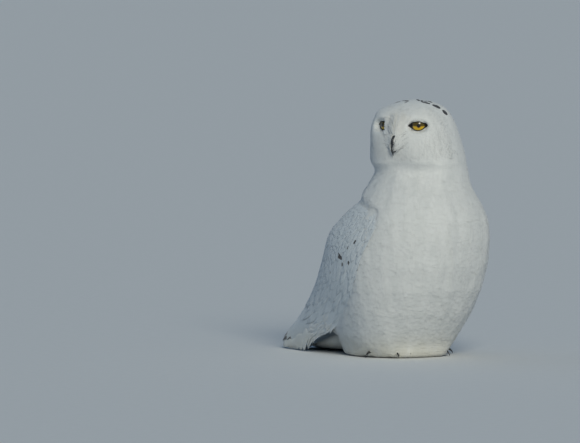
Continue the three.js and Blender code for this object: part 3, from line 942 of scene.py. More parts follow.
# ---------------------------------------------------------------------------
# Settings and operators
# ---------------------------------------------------------------------------
class OwlSizes(bpy.types.PropertyGroup):
    """Sizes and colours of the owl's dress"""

    coat_depth: bpy.props.FloatProperty(
        name="Coat depth", description="How far the skin lies inside the body's outline", default=0.0030,
        unit="LENGTH"
    )
    head_depth: bpy.props.FloatProperty(
        name="Head coat depth", description="How far the skin lies inside the head's outline", default=0.0019,
        unit="LENGTH"
    )
    breast_feather: bpy.props.FloatProperty(
        name="Breast feather", description="Length of a feather on the breast", default=0.026, unit="LENGTH"
    )
    head_feather: bpy.props.FloatProperty(
        name="Head feather", description="Length of a feather on the crown", default=0.011, unit="LENGTH"
    )
    white: bpy.props.FloatVectorProperty(
        name="White", description="Colour of a clean feather", default=(0.80, 0.81, 0.80), subtype="COLOR",
        size=3
    )
    shade: bpy.props.FloatVectorProperty(
        name="Off-white", description="Colour of a shaded or stained feather", default=(0.66, 0.68, 0.67),
        subtype="COLOR", size=3
    )
    mark: bpy.props.FloatVectorProperty(
        name="Markings", description="Colour of the dark bars", default=(0.055, 0.055, 0.062),
        subtype="COLOR", size=3
    )


def fill_out(mesh, share, rounds):
    """Fills creases: smooths the surface, but moves it outwards only."""
    points, out = coords(mesh), normals(mesh)
    flat = even_out(mesh, points, rounds)
    push = np.maximum(np.sum((flat - points) * out, -1), 0) * share
    set_coords(mesh, points + out * even_out(mesh, push, 4)[:, None])


def from_grid(table, i, j):
    """Reads a table between its entries: round in its rows, held at its ends in its columns."""
    j = np.clip(j, 0, table.shape[1] - 1.001)
    a, b = np.floor(i).astype(int), np.floor(j).astype(int)
    p, q = i - a, j - b
    a, n = a % len(table), (a + 1) % len(table)
    return (
        (table[a, b] * (1 - p) + table[n, b] * p) * (1 - q)
        + (table[a, b + 1] * (1 - p) + table[n, b + 1] * p) * q
    )


def join_neck(mesh):
    """Runs the nape and the sides of the neck straight into the head, and carries the chin's fluff lower."""
    bird = to_bird(coords(mesh))
    side, forward, height = to_head(bird)
    forward = forward + 5
    reach, turn = np.hypot(side, forward), np.degrees(np.arctan2(side, forward))
    levels = np.arange(264, 368, 4.0)
    table = np.zeros((36, len(levels)))
    at = (height > 262) & (height < 366)
    np.maximum.at(
        table,
        (
            np.floor((turn[at] + 180) / 10).astype(int) % 36,
            np.round((height[at] - 264) / 4).astype(int).clip(0, len(levels) - 1)
        ),
        reach[at]
    )
    table = (np.roll(table, 1, 0) + 2 * table + np.roll(table, -1, 0)) / 4
    straight = table.copy()
    for k in range(1, len(levels) - 1):
        for p in range(max(k - 10, 0), k):
            for q in range(k + 1, min(p + 14, len(levels))):
                straight[:, k] = np.maximum(
                    straight[:, k], table[:, p] + (table[:, q] - table[:, p]) * (k - p) / (q - p)
                )
    lower = np.concatenate((table[:, 2:], table[:, -2:]), 1)
    i, j = (turn + 180) / 10 - 0.5, (height - 264) / 4
    opened = np.where(turn > 0, ease(32, 62, turn), ease(95, 125, -turn))
    push = np.maximum(from_grid(straight, i, j) - reach, 0) * opened
    push = np.maximum(
        push, np.maximum(from_grid(lower, i, j) - reach, 0) * (1 - opened) * ease(284, 298, height)
    )
    push = push * ease(262, 298, height) * (1 - ease(346, 362, height))
    push = even_out(mesh, push, 8)
    set_coords(mesh, to_frame(bird + head_way(side / reach, forward / reach, 0.0) * push[:, None]))


def soft_folds(bird, head):
    """Long soft folds in the plumage, in millimetres: they run down the body and along the wings."""
    x, y, z = bird.T
    turn = np.arctan2(x, -(y + 20))
    folds = 0.0
    # each set of folds: how many go round, drift, phase, depth
    waves = ((9, 0.011, 0.4, 0.35), (15, -0.017, 2.1, 0.30), (27, 0.023, 4.0, 0.16), (43, -0.02, 1.2, 0.08))
    for k, (many, drift, phase, size) in enumerate(waves):
        folds = folds + size * np.sin(many * turn + drift * z + phase + 0.9 * np.sin(0.021 * z + k))
    # one stronger ridge down the breast, with a furrow beside it
    line = np.interp(z, (95, 103, 144, 160, 178, 213, 240), (2, 0, -5.6, -6, -13, -19, -24))
    ridge = 2.0 * np.exp(-(((x - line) / 6.5) ** 2)) - 1.2 * np.exp(-(((x - line + 11) / 7) ** 2))
    folds = folds + ridge * (y < -50) * ease(92, 115, z) * (1 - ease(215, 240, z))
    return folds * ease(20, 60, z) * (1 - ease(285, 305, z)) * (1 - head)


class OWL_OT_skin(bpy.types.Operator):
    """One skin for body, wings, head and feet, inside their outline by the coat's depth"""

    bl_idname = "owl.skin"
    bl_label = "Skin"

    def execute(self, context):
        sizes = context.scene.owl_sizes
        all_points, all_faces, owners = [], [], []

        def take_in(points, faces, owner):
            all_faces.append(faces + sum(map(len, all_points)))
            all_points.append(points)
            owners.extend([owner] * len(faces))

        for name in FLESH + ("eye_left", "eye_right", "bill_upper", "bill_lower"):
            mesh = frame["nodes"][name].data
            points = coords(mesh)
            if name.startswith("bill"):
                side, forward, height = to_head(to_bird(points))
                points = to_frame(from_head(side, np.minimum(forward, 56.0), height))
            take_in(points, triangles_of(mesh), name)

        def under_row(row, turn):
            back, half, middle, rise = row
            across, level = half * np.cos(turn), np.full(len(turn), back)
            return np.stack((across, level, middle + rise * np.sin(turn)), -1)

        def hem_row(row, turn):
            height, share = row
            outline = (follow(HEM, turn / (2 * math.pi)) - HEM_MIDDLE) * share + HEM_MIDDLE
            return np.column_stack((outline, np.full(len(turn), height)))

        forms = {"undertail": tube(12, 20, UNDERTAIL, under_row), "hem": tube(10, 48, HEM_ROWS, hem_row)}
        for owner, form in forms.items():
            take_in(to_frame(form[0]), triangulate(*form), owner)
        points, faces = np.vstack(all_points), np.vstack(all_faces)
        raw = bpy.data.meshes.new("raw")
        raw.from_pydata(points.tolist(), [], faces.tolist())
        body = link(bpy.data.objects.new("skin", raw))
        tree = BVHTree.FromPolygons(points.tolist(), faces.tolist(), all_triangles=True)
        step = body.modifiers.new("One surface", "REMESH")
        step.mode, step.voxel_size = "VOXEL", SKIN_GRAIN
        context.view_layer.update()
        graph = context.evaluated_depsgraph_get()
        mesh = bpy.data.meshes.new_from_object(body.evaluated_get(graph), depsgraph=graph)
        body.modifiers.clear()
        body.data = mesh
        bpy.data.meshes.remove(raw)
        # which solid each point lies on
        points = coords(mesh)
        near = [owners[tree.find_nearest(p)[2]] for p in points.tolist()]
        shares = {
            key: even_out(mesh, [float(n.startswith(words)) for n in near], rounds)
            for key, words, rounds in (
                ("head", ("head", "eye", "bill"), 5),
                ("wing", ("wing",), 3),
                ("foot", ("foot",), 2),
                ("leg", ("leg",), 4),
                ("neck", ("neck",), 5),
            )
        }
        head = np.maximum(shares["head"], shares["neck"] * ease(296, 312, to_bird(points)[:, 2]))
        fine = even_out(mesh, points, 4)
        broad = even_out(mesh, fine, 22)
        edge = even_out(mesh, np.maximum(shares["foot"], shares["wing"] * 0.75), 3)
        points = fine * edge[:, None] + broad * (1 - edge[:, None])
        points = points * (1 - 0.7 * head[:, None]) + fine * 0.7 * head[:, None]
        # gives back what the smoothing took off
        set_coords(mesh, points + even_out(mesh, coords(mesh) - points, 14))
        # the nape and the sides of the neck run into the head without a ledge; the chin keeps its own
        join_neck(mesh)
        bird = to_bird(coords(mesh))
        chest = ease(150, 185, bird[:, 2]) * (1 - ease(262, 280, bird[:, 2])) * ease(40, 0, bird[:, 1])
        fill_out(mesh, chest * 0.8, 12)
        points = coords(mesh)
        out = normals(mesh)
        solid = surface(mesh)
        hits = [solid.ray_cast(Vector(p - n * 2e-4), Vector(-n)) for p, n in zip(points, out)]
        thick = np.array([hit[3] if hit[0] is not None else 1.0 for hit in hits])
        depth = sizes.coat_depth * (1 - head) + sizes.head_depth * head
        depth = depth * (1 - shares["foot"]) + 0.0018 * shares["foot"]
        depth = even_out(mesh, np.minimum(depth, thick * 0.33), 3)
        points = points - out * (depth - MM * soft_folds(to_bird(points), head))[:, None]
        bird = to_bird(points)
        eye_gap = np.full(len(points), 99.0)
        for s in (-1, 1):
            centre, outer, up, gaze = eye_frame(s)
            away = bird - centre
            h, v, d = away @ outer, away @ up, away @ gaze
            reach = np.hypot((h + 1.5) / 16.0, (v + 0.8) / 9.4)
            inside = (reach < 1.25) & (d > -2)
            sink = np.sqrt(np.maximum(12.8**2 - h**2 - v**2, 5.0**2)) - 0.5
            share = 1 - ease(0.78, 1.1, reach)
            bird = np.where(inside[:, None], bird + gaze * (np.minimum(sink - d, 0) * share)[:, None], bird)
            ring = opening(LID_POINTS)[0]
            at = np.nonzero((np.hypot(h, v) < 34) & (d > -4))[0]
            gap = np.sqrt(np.min((h[at, None] - ring[:, 0]) ** 2 + (v[at, None] - ring[:, 1]) ** 2, 1))
            gap = np.where(np.hypot((h[at] + 1.5) / 13.1, (v[at] + 0.8) / 6.4) < 1, -gap, gap)
            gap = gap - 4.0 * np.exp(-(((h[at] + 16.5) / 5) ** 2) - (v[at] / 3.5) ** 2)
            eye_gap[at] = np.minimum(eye_gap[at], gap)
            # the disc's upper edge stands out a little as a brow
            brow = from_head(s * 43.0, 22.0, 388.0)
            bump = np.exp(-np.sum((bird - brow) ** 2, -1) / 11.0**2) * (5.0 if s < 0 else 1.5)
            bird = bird + unit(brow - from_head(0.0, 0.0, 365.0)) * bump[:, None]
            # fuller feathers behind the crown
            crown = from_head(s * 42.0, -12.0, 396.0)
            bump = 4.5 * np.exp(-np.sum((bird - crown) ** 2, -1) / 25.0**2)
            bird = bird + unit(crown - from_head(0.0, -5.0, 362.0)) * bump[:, None]
        near_eye = 1 - ease(1.0, 2.6, eye_gap)
        # feet stay on the floor
        points = to_frame(bird)
        points[:, 2] = np.maximum(points[:, 2], 0.0005)
        set_coords(mesh, points)
        out = normals(mesh)
        side, forward, height = to_head(bird)
        face = ease(8, 26, forward) * head * ease(318, 330, height) * (1 - ease(392, 402, height))
        flow = lie_of_plumage(bird, out, head, shares["wing"] * (1 - head), shares["foot"])
        z = bird[:, 2]
        long = sizes.breast_feather * (0.72 + 0.28 * ease(300, 200, z)) * np.ones(len(z))
        long = (
            long * (1 - head)
            + head * (sizes.head_feather * (1 + 0.45 * ease(0, -60, forward)) * (1 - 0.25 * face))
        )
        long = long * (1 - shares["foot"]) + 0.014 * shares["foot"]
        long = even_out(mesh, long, 8) * (0.55 + 0.45 * ease(0, 14, eye_gap))
        wing = shares["wing"] * (1 - head)
        body_share = (1 - head) * (1 - wing) * (1 - shares["foot"])
        front = ease(30, -30, bird[:, 1]) * ease(1.0, 0.9, wing)
        belly = ease(150, 120, z)
        open_skin = 1 - near_eye
        # nothing grows under the folded wings' lower edges, where it would push through them
        tucked = (
            1
            - ease(68, 76, np.abs(bird[:, 0])) * ease(78, 88, bird[:, 1]) * ease(18, 28, z) * ease(110, 90, z)
        )
        covers = {
            "cover_face": face * open_skin,
            "cover_crown": head * (1 - face) * open_skin,
            "cover_breast": body_share * front * (1 - belly),
            "cover_belly": body_share * belly * tucked,
            "cover_back": body_share * (1 - front) * (1 - belly) * tucked,
            "cover_wing": wing * tucked,
            "cover_foot": shares["foot"],
        }
        for key, value in covers.items():
            keep(mesh, key, np.clip(value, 0, 1))
        keep(mesh, "flow", flow, "FLOAT_VECTOR")
        keep(mesh, "lie", unit(even_out(mesh, out, 4)), "FLOAT_VECTOR")
        keep(mesh, "long", long)
        keep(mesh, "wide", 1 - 0.15 * head)
        place_bars(surface(mesh))
        keep(mesh, "mark", marks_at(bird))
        mesh.materials.clear()
        mesh.materials.append(down_material("owl down", plumage_colours()))
        mesh.polygons.foreach_set("use_smooth", [True] * len(mesh.polygons))
        body.select_set(True)
        context.view_layer.objects.active = body
        mesh.uv_layers.new(name="OFBake")
        bpy.ops.object.mode_set(mode="EDIT")
        bpy.ops.mesh.select_all(action="SELECT")
        bpy.ops.uv.smart_project(angle_limit=math.radians(66), island_margin=0.004)
        bpy.ops.object.mode_set(mode="OBJECT")
        body.select_set(False)
        give_place(body, FLESH)
        return {"FINISHED"}


class OWL_OT_coat(bpy.types.Operator):
    """Body, head, leg and foot feathers"""

    bl_idname = "owl.coat"
    bl_label = "Coat"

    def execute(self, context):
        rng = np.random.default_rng(7)
        soft = bpy.data.collections.new("soft feathers")
        for k in range(5):
            contour_feather(soft, f"soft {k}", rng, teeth=7, width=0.26 + 0.03 * rng.uniform(-1, 1))
        short = bpy.data.collections.new("short feathers")
        for k in range(4):
            contour_feather(short, f"short {k}", rng, teeth=5, width=0.27, lift=0.07, cup=0.03)
        fine = bpy.data.collections.new("fine feathers")
        for k in range(4):
            hair_tuft(fine, f"fine {k}", rng, hairs=3, width=0.12)
        colours = plumage_colours()
        body = plumage_material("owl body plumage", colours)
        head = plumage_material("owl head plumage", colours, barbs=12.0, bump=0.25)
        # name, shapes, material, the tree's inputs in this order, the share of the skin's own shading
        inputs = ("Cover", "Spacing", "Density", "Lift", "Toss", "Seed")
        pieces = (
            ("coat_breast", soft, body, "cover_breast", 0.0027, 200000.0, 0.8, 0.10, 3, 0.82),
            ("coat_back", soft, body, "cover_back", 0.0032, 160000.0, 0.9, 0.10, 5, 0.75),
            ("coat_belly", soft, body, "cover_belly", 0.0032, 160000.0, 1.0, 0.14, 7, 0.78),
            ("coat_wings", soft, body, "cover_wing", 0.0045, 60000.0, 0.6, 0.08, 9, 0.8),
            ("coat_crown", short, head, "cover_crown", 0.0019, 400000.0, 0.85, 0.14, 11, 0.82),
            ("coat_face", short, head, "cover_face", 0.0018, 450000.0, 0.7, 0.12, 13, 0.86),
            ("coat_face_hair", fine, head, "cover_face", 0.0024, 250000.0, 0.9, 0.10, 17, 0.86),
            ("coat_feet", fine, head, "cover_foot", 0.0016, 400000.0, 2.2, 0.25, 15, 0.6),
        )
        for name, store, material, *values, soften_by in pieces:
            lay_coat(name, store, material, soften_by, **dict(zip(inputs, values)))
        for store in (soft, short, fine):
            for obj in list(store.objects):
                data = obj.data
                bpy.data.objects.remove(obj)
                bpy.data.meshes.remove(data)
            bpy.data.collections.remove(store)
        return {"FINISHED"}


def wing_vane(side, path_t, path_s, width, height, rows, camber, blunt, thick=0.35, columns=7):
    """One flight feather lying on the wing's face: a closed thin blade with a raised shaft."""
    u = np.linspace(0, 1, rows)
    v = np.linspace(-1, 1, columns)
    t = np.interp(u, np.linspace(0, 1, len(path_t)), path_t)
    s = np.interp(u, np.linspace(0, 1, len(path_s)), path_s)
    half = (
        width * np.clip(1 - np.abs(2 * np.clip(u, 0.5, 1) - 1) ** blunt, 0, 1) ** 0.55
        * (0.55 + 0.45 * ease(0, 0.25, u))
    )
    half = np.maximum(half, 0.25)
    span = wing_ways(t, s, side)[2]
    U, V = np.meshgrid(u, v, indexing="ij")
    T = np.repeat(t[:, None], columns, 1)
    S = np.clip(
        s[:, None] + V * (half / np.maximum(span, 1))[:, None], 0.005 + 0.004 * (1 + V),
        0.987 + 0.004 * (1 + V)
    )
    base = wing_points(T, S, side)
    _, _, _, normal = wing_ways(T, np.clip(S, 0.02, 0.98), side)
    h = height[0] + (height[1] - height[0]) * U + camber * (1 - V**2) * 0.5
    top = base + normal * h[..., None]
    low = base + normal * (h - thick * (1 - V**2 * 0.9) * (1 - 0.6 * U))[..., None]
    return top, low, U, V, normal


def blade(top, low):
    """Joins a blade's two faces at its edge into one closed mesh."""
    rows, columns = top.shape[:2]
    index = np.arange(rows * columns).reshape(rows, columns)
    inner = np.full((rows, columns), -1)
    inner[1:-1, 1:-1] = np.arange((rows - 2) * (columns - 2)).reshape(rows - 2, columns - 2) + rows * columns
    under = np.where(inner < 0, index, inner)
    faces = []
    for r in range(rows - 1):
        for c in range(columns - 1):
            faces.append((index[r, c], index[r, c + 1], index[r + 1, c + 1], index[r + 1, c]))
            faces.append((under[r, c], under[r + 1, c], under[r + 1, c + 1], under[r, c + 1]))
    points = np.vstack((top.reshape(-1, 3), low[1:-1, 1:-1].reshape(-1, 3)))
    return points, faces


def sum_out(mesh):
    """Volume of a closed mesh, negative where its faces point inwards."""
    p = coords(mesh)[triangles_of(mesh)]
    return float(np.sum(np.cross(p[:, 0], p[:, 1]) * p[:, 2]))


def blades_piece(name, blades, material, replaced=(), soft=0.5):
    """Many blades as one piece; each has its own cell of the map."""
    points, faces, vanes, tones, patches, marks, ways = [], [], [], [], [], [], []
    start = 0
    cells = math.ceil(math.sqrt(len(blades)))
    for k, (top, low, U, V, out, tone, mark) in enumerate(blades):
        p, f = blade(top, low)
        upper = np.zeros((U.size, 3)) if out is None else out.reshape(-1, 3)
        ways.append(np.vstack((upper, np.zeros((len(p) - U.size, 3)))))
        points.append(p)
        faces += [tuple(i + start for i in face) for face in f]
        flat = lambda a: np.concatenate((a.ravel(), a[1:-1, 1:-1].ravel()))
        vanes.append(np.stack((flat(U), flat(V), np.full(len(p), tone * TONE_STEP)), -1))
        tones.append(np.full(len(p), tone))
        marks.append(np.zeros(len(p)) if mark is None else flat(mark))
        cell = np.array(((k % cells + 0.5) / cells, (k // cells + 0.5) / cells))
        under = np.concatenate((np.zeros(U.size), np.ones(U[1:-1, 1:-1].size)))
        across = (flat(V) * 0.2 - 0.22 + 0.44 * under) / cells * 0.95
        patches.append(cell + np.stack((across, (flat(U) - 0.5) / cells * 0.9), -1))
        start += len(p)
    points = np.vstack(points)
    piece = mesh_piece(name, keep_in_box(to_frame(points)), faces, material)
    mesh = piece.data
    if sum_out(mesh) < 0:
        mesh.flip_normals()
    keep(mesh, "vane", np.vstack(vanes), "FLOAT_VECTOR")
    keep(mesh, "tone", np.concatenate(tones))
    keep(mesh, "mark", np.maximum(np.concatenate(marks), marks_at(points)))
    keep(mesh, "OFBake", at_corners(mesh, np.vstack(patches)), "FLOAT2", "CORNER")
    ways = np.vstack(ways)
    own = normals(mesh)
    turned = own * (1 - soft) + ways * soft
    mesh.normals_split_custom_set_from_vertices(
        np.where(np.any(ways, axis=1, keepdims=True), unit(turned), own).astype(np.float32)
    )
    give_place(piece, replaced)


def plume(root, middle, tip, face, width, thick=0.22, rows=9, columns=5, cup=0.12):
    """One loose feather along a curve of three points, facing a way: a closed thin leaf."""
    root, middle, tip = (np.asarray(v, float) for v in (root, middle, tip))
    u, v = np.linspace(0, 1, rows)[:, None], np.linspace(-1, 1, columns)
    line = (1 - u) ** 2 * root + 2 * u * (1 - u) * middle + u**2 * tip
    way = unit(2 * (1 - u) * (middle - root) + 2 * u * (tip - middle))
    over = unit(np.cross(way, np.broadcast_to(np.asarray(face, float), way.shape)))
    out = np.cross(over, way)
    half = width * np.sin(math.pi * np.clip(u[:, 0] * 0.94 + 0.04, 0, 1) ** 0.75) ** 0.6
    U, V = np.meshgrid(u[:, 0], v, indexing="ij")
    top = (
        line[:, None] + over[:, None] * (V * half[:, None])[..., None]
        + out[:, None] * ((1 - V**2) * cup * width)[..., None]
    )
    low = top - out[:, None] * (thick * (1 - 0.9 * V**2))[..., None]
    return top, low, U, V, np.broadcast_to(out[:, None], top.shape)


class OWL_OT_fringes(bpy.types.Operator):
    """Loose feathers under the wings' lower edges"""

    bl_idname = "owl.fringes"
    bl_label = "Fringes"

    def execute(self, context):
        rng = np.random.default_rng(83)
        material = plumage_material("owl loose feathers", plumage_colours(), barbs=16.0, bump=0.2)
        for side, word in ((1, "left"), (-1, "right")):
            leaves = []
            for t in np.linspace(0.69, 0.985, 130):
                t = t + rng.uniform(-0.003, 0.003)
                s = rng.uniform(0.01, 0.16)
                along, _, _, out = (
                    np.squeeze(v) for v in wing_ways(np.array([t]), np.array([max(s, 0.03)]), side)
                )
                root = wing_points(t, s, side) - out * 2.2 - along * 6
                drop = 3 + rng.uniform(0, 4) + 40 * ease(0.80, 0.88, t)
                tip = root + along * rng.uniform(20, 28) + np.array((-side * 3.0, 0, -drop))
                tip[2] = max(tip[2], 1.0 + rng.uniform(0, 1.5))
                tip[1] = min(tip[1], 268.0)
                middle = (root + tip) / 2 + np.array((side * 2.5, 2, 3))
                leaves.append(
                    plume(root, middle, tip, (side, -0.1, 0.25), rng.uniform(3.2, 4.6))
                    + (rng.uniform(), None)
                )
            blades_piece(f"fringe_{word}", leaves, material, soft=0.7)
        return {"FINISHED"}


class OWL_OT_wings(bpy.types.Operator):
    """Coverts in rows, secondaries and primaries"""

    bl_idname = "owl.wings"
    bl_label = "Wings"

    def execute(self, context):
        white, shade, mark = plumage_colours()
        # the wing feathers are a little darker and bluer: partly their own greyer tone, partly painted shade
        # for the wings' shaded sides
        wing_grey_and_shade = (0.92, 0.96, 1.0, 1)
        colours = (tuple(np.array(white) * wing_grey_and_shade), tuple(np.array(shade) * wing_grey_and_shade), mark)
        covert = plumage_material("owl coverts", colours, barbs=20.0, bump=0.3)
        flight = plumage_material(
            "owl flight feathers", colours, barbs=60.0, slant=0.35, bump=0.3, shaft=0.08
        )
        for side, word in ((1, "left"), (-1, "right")):
            rng = np.random.default_rng(32)
            rows = []
            bars = np.array([bar[0] for bar in BARS])
            level = np.linspace(0.015, 0.56, 22)
            for r, t0 in enumerate(level):
                grown = r / (len(level) - 1)
                length = 0.075 + 0.15 * grown**1.3
                width = 3.7 + 4.4 * grown
                span = float(wing_ways(t0 + length * 0.6, 0.5, side)[2])
                many = max(8, int(span / (width * 0.92)))
                for k in range(many + 1):
                    s0 = (k + 0.25 + 0.5 * (r % 2)) / (many + 0.5) + rng.uniform(-0.012, 0.012)
                    jitter = rng.uniform(-0.011, 0.011)
                    long = length * (1 + rng.uniform(-0.18, 0.18))
                    low = -1.9 + rng.uniform(-0.08, 0.08)
                    end = min(t0 + jitter + long, 0.99)
                    path = (
                        (t0 + jitter, end), (s0, s0 + rng.uniform(-0.015, 0.015)),
                        width * (1 + rng.uniform(-0.15, 0.1)), (low, low + 0.7 + rng.uniform(-0.08, 0.1))
                    )
                    middle = wing_points(np.linspace(*path[0], 7), s0, side)
                    marked = np.min(np.sum((middle[:, None] - bars) ** 2, -1)) < 6.5**2
                    top, under, U, V, out = wing_vane(
                        side, *path, thick=0.16, camber=0.3, blunt=2.3, rows=26 if marked else 9,
                        columns=7 if marked else 5
                    )
                    rows.append((top, under, U, V, out, rng.uniform(), None))
            blades_piece(f"coverts_{word}", rows, covert, soft=0.6)
            quills = []
            for k in range(10):  # primaries, the outermost lowest
                s_mid, s_low = 0.03 + 0.047 * k, 0.04 + 0.096 * k
                end = (0.93, 0.965, 0.995, 0.99, 0.955, 0.915, 0.88, 0.85, 0.825, 0.80)[k]
                s_end = (0.10, 0.18, 0.33, 0.56, 0.66, 0.72, 0.78, 0.82, 0.86, 0.90)[k]
                top, under, U, V, out = wing_vane(
                    side, (0.5, 0.78, end), (s_mid, s_low, s_end), 11.0 + 0.25 * k,
                    (-2.9 + 0.08 * k, -2.2 + 0.12 * k), rows=34, camber=0.5, blunt=4.0
                )
                # a dark spot near the tip of three primaries, which is marking, and a painted shade that
                # darkens the tips of four of them
                mark = (
                    0.75 * np.exp(-(((U - 0.95) / 0.02) ** 2) - (V / 0.5) ** 2) * (k in (1, 2, 3))
                    + 0.3 * ease(0.80, 1.0, U) * (k in (1, 2, 3, 4))
                )
                quills.append((top, under, U, V, out, rng.uniform(), mark))
            for k in range(11):  # secondaries, the upper ones on top
                s0 = 0.50 + 0.047 * k
                end = 0.80 - 0.012 * k - 0.002 * k * max(k - 5, 0)
                top, under, U, V, out = wing_vane(
                    side, (0.44, 0.6, end), (s0, s0 + 0.01, min(s0 + 0.03, 0.97)), 11.5,
                    (-2.2 + 0.03 * k, -1.6 + 0.06 * k), rows=26, camber=0.5, blunt=4.0
                )
                quills.append((top, under, U, V, out, rng.uniform(), None))
            blades_piece(f"flight_{word}", quills, flight, (f"primaries_{word}",))
        return {"FINISHED"}


class OWL_OT_tail(bpy.types.Operator):
    """Twelve tail feathers, arched over each other"""

    bl_idname = "owl.tail"
    bl_label = "Tail"

    def execute(self, context):
        material = plumage_material(
            "owl tail", plumage_colours(), barbs=70.0, slant=0.3, bump=0.3, shaft=0.07
        )
        rng = np.random.default_rng(47)
        table = np.array(TAIL, float)
        quills = []
        for k in range(12):
            a = (k - 5.5) / 5.5
            rows, columns = 26, 7
            u, v = np.linspace(0, 1, rows), np.linspace(-1, 1, columns)
            U, V = np.meshgrid(u, v, indexing="ij")
            row = follow(table, U * 0.999)
            y, z, half, thick, hang = np.moveaxis(row, -1, 0)
            lane = a * 0.82
            blunt = np.clip(1 - np.abs(2 * np.clip(U, 0.5, 1) - 1) ** 7, 0, 1) ** 0.5
            reach = 11.5 * blunt * (0.6 + 0.4 * ease(0, 0.3, U))
            across = lane * half + V * reach
            share = np.clip(across / half, -1, 1)
            stack = (1 - abs(a)) * 0.9
            base = z - hang * share**2 + thick / 2 * (1 - 0.4 * share**2)
            h = -1.6 + stack + 0.5 * (1 - V**2)
            back = y - TAIL_ROUNDING * (a * 0.9 * U) ** 2 - 1.5
            top = np.stack((across, back, base + h), -1)
            low = np.stack((across, back, base + h - 0.4 * (1 - 0.9 * V**2)), -1)
            quills.append((top, low, U, V, None, rng.uniform(), None))
        blades_piece("tail_feathers", quills, material, ("tail",))
        return {"FINISHED"}


# outline of the lids' opening, sideways and up from the pupil, from the inner corner to the outer one
UPPER_LID = (
    (-14.6, -0.2), (-12.4, 1.6), (-9.6, 4.2), (-6.0, 5.3), (-1.0, 5.5), (4.0, 5.0), (8.0, 3.4), (11.6, 1.2)
)
LOWER_LID = (
    (-14.6, -0.2), (-12.6, -2.4), (-9.6, -4.8), (-6.0, -6.6), (-1.5, -7.2), (3.5, -6.4),
    (8.0, -3.6), (11.6, 0.4),
)
# each lid's rings: how far out along the sides and at the corners, lift, share of bare rim
LID_RINGS = (
    (-3.0, -4.0, -1.5, 1), (-0.7, -0.3, -0.6, 1), (-0.1, 0.0, 0.25, 1), (0.25, 0.5, 0.75, 1),
    (0.6, 1.2, 0.85, 1), (0.95, 2.0, 0.75, 1), (1.3, 2.8, 0.6, 0.4), (2.0, 3.2, 0.5, 0.0),
    (3.4, 3.6, 0.4, 0.0), (5.5, 4.0, 0.1, 0.0), (8.0, 5.0, 0.0, 0.0), (11.0, 7.0, 0.0, 0.0),
)


def opening(count):
    """The lids' opening as a closed ring, its outward ways, and how near each point is to a corner."""
    n = count // 2
    over = follow(UPPER_LID, np.linspace(0, 1, n, endpoint=False))
    under = follow(LOWER_LID, np.linspace(1, 0, n, endpoint=False))
    ring = np.vstack((over, under))
    step = np.roll(ring, -1, 0) - np.roll(ring, 1, 0)
    away = unit(np.stack((-step[:, 1], step[:, 0]), -1))
    away *= np.sign(np.sum(away * (ring - ring.mean(0)), -1, keepdims=True))
    corner = np.maximum(np.exp(-((ring[:, 0] + 14.6) / 2.2) ** 2), np.exp(-((ring[:, 0] - 11.6) / 2.2) ** 2))
    away = unit(away * (1 - corner[:, None]) + np.sign(ring[:, :1]) * np.array((1.0, 0.05)) * corner[:, None])
    return ring, away, corner


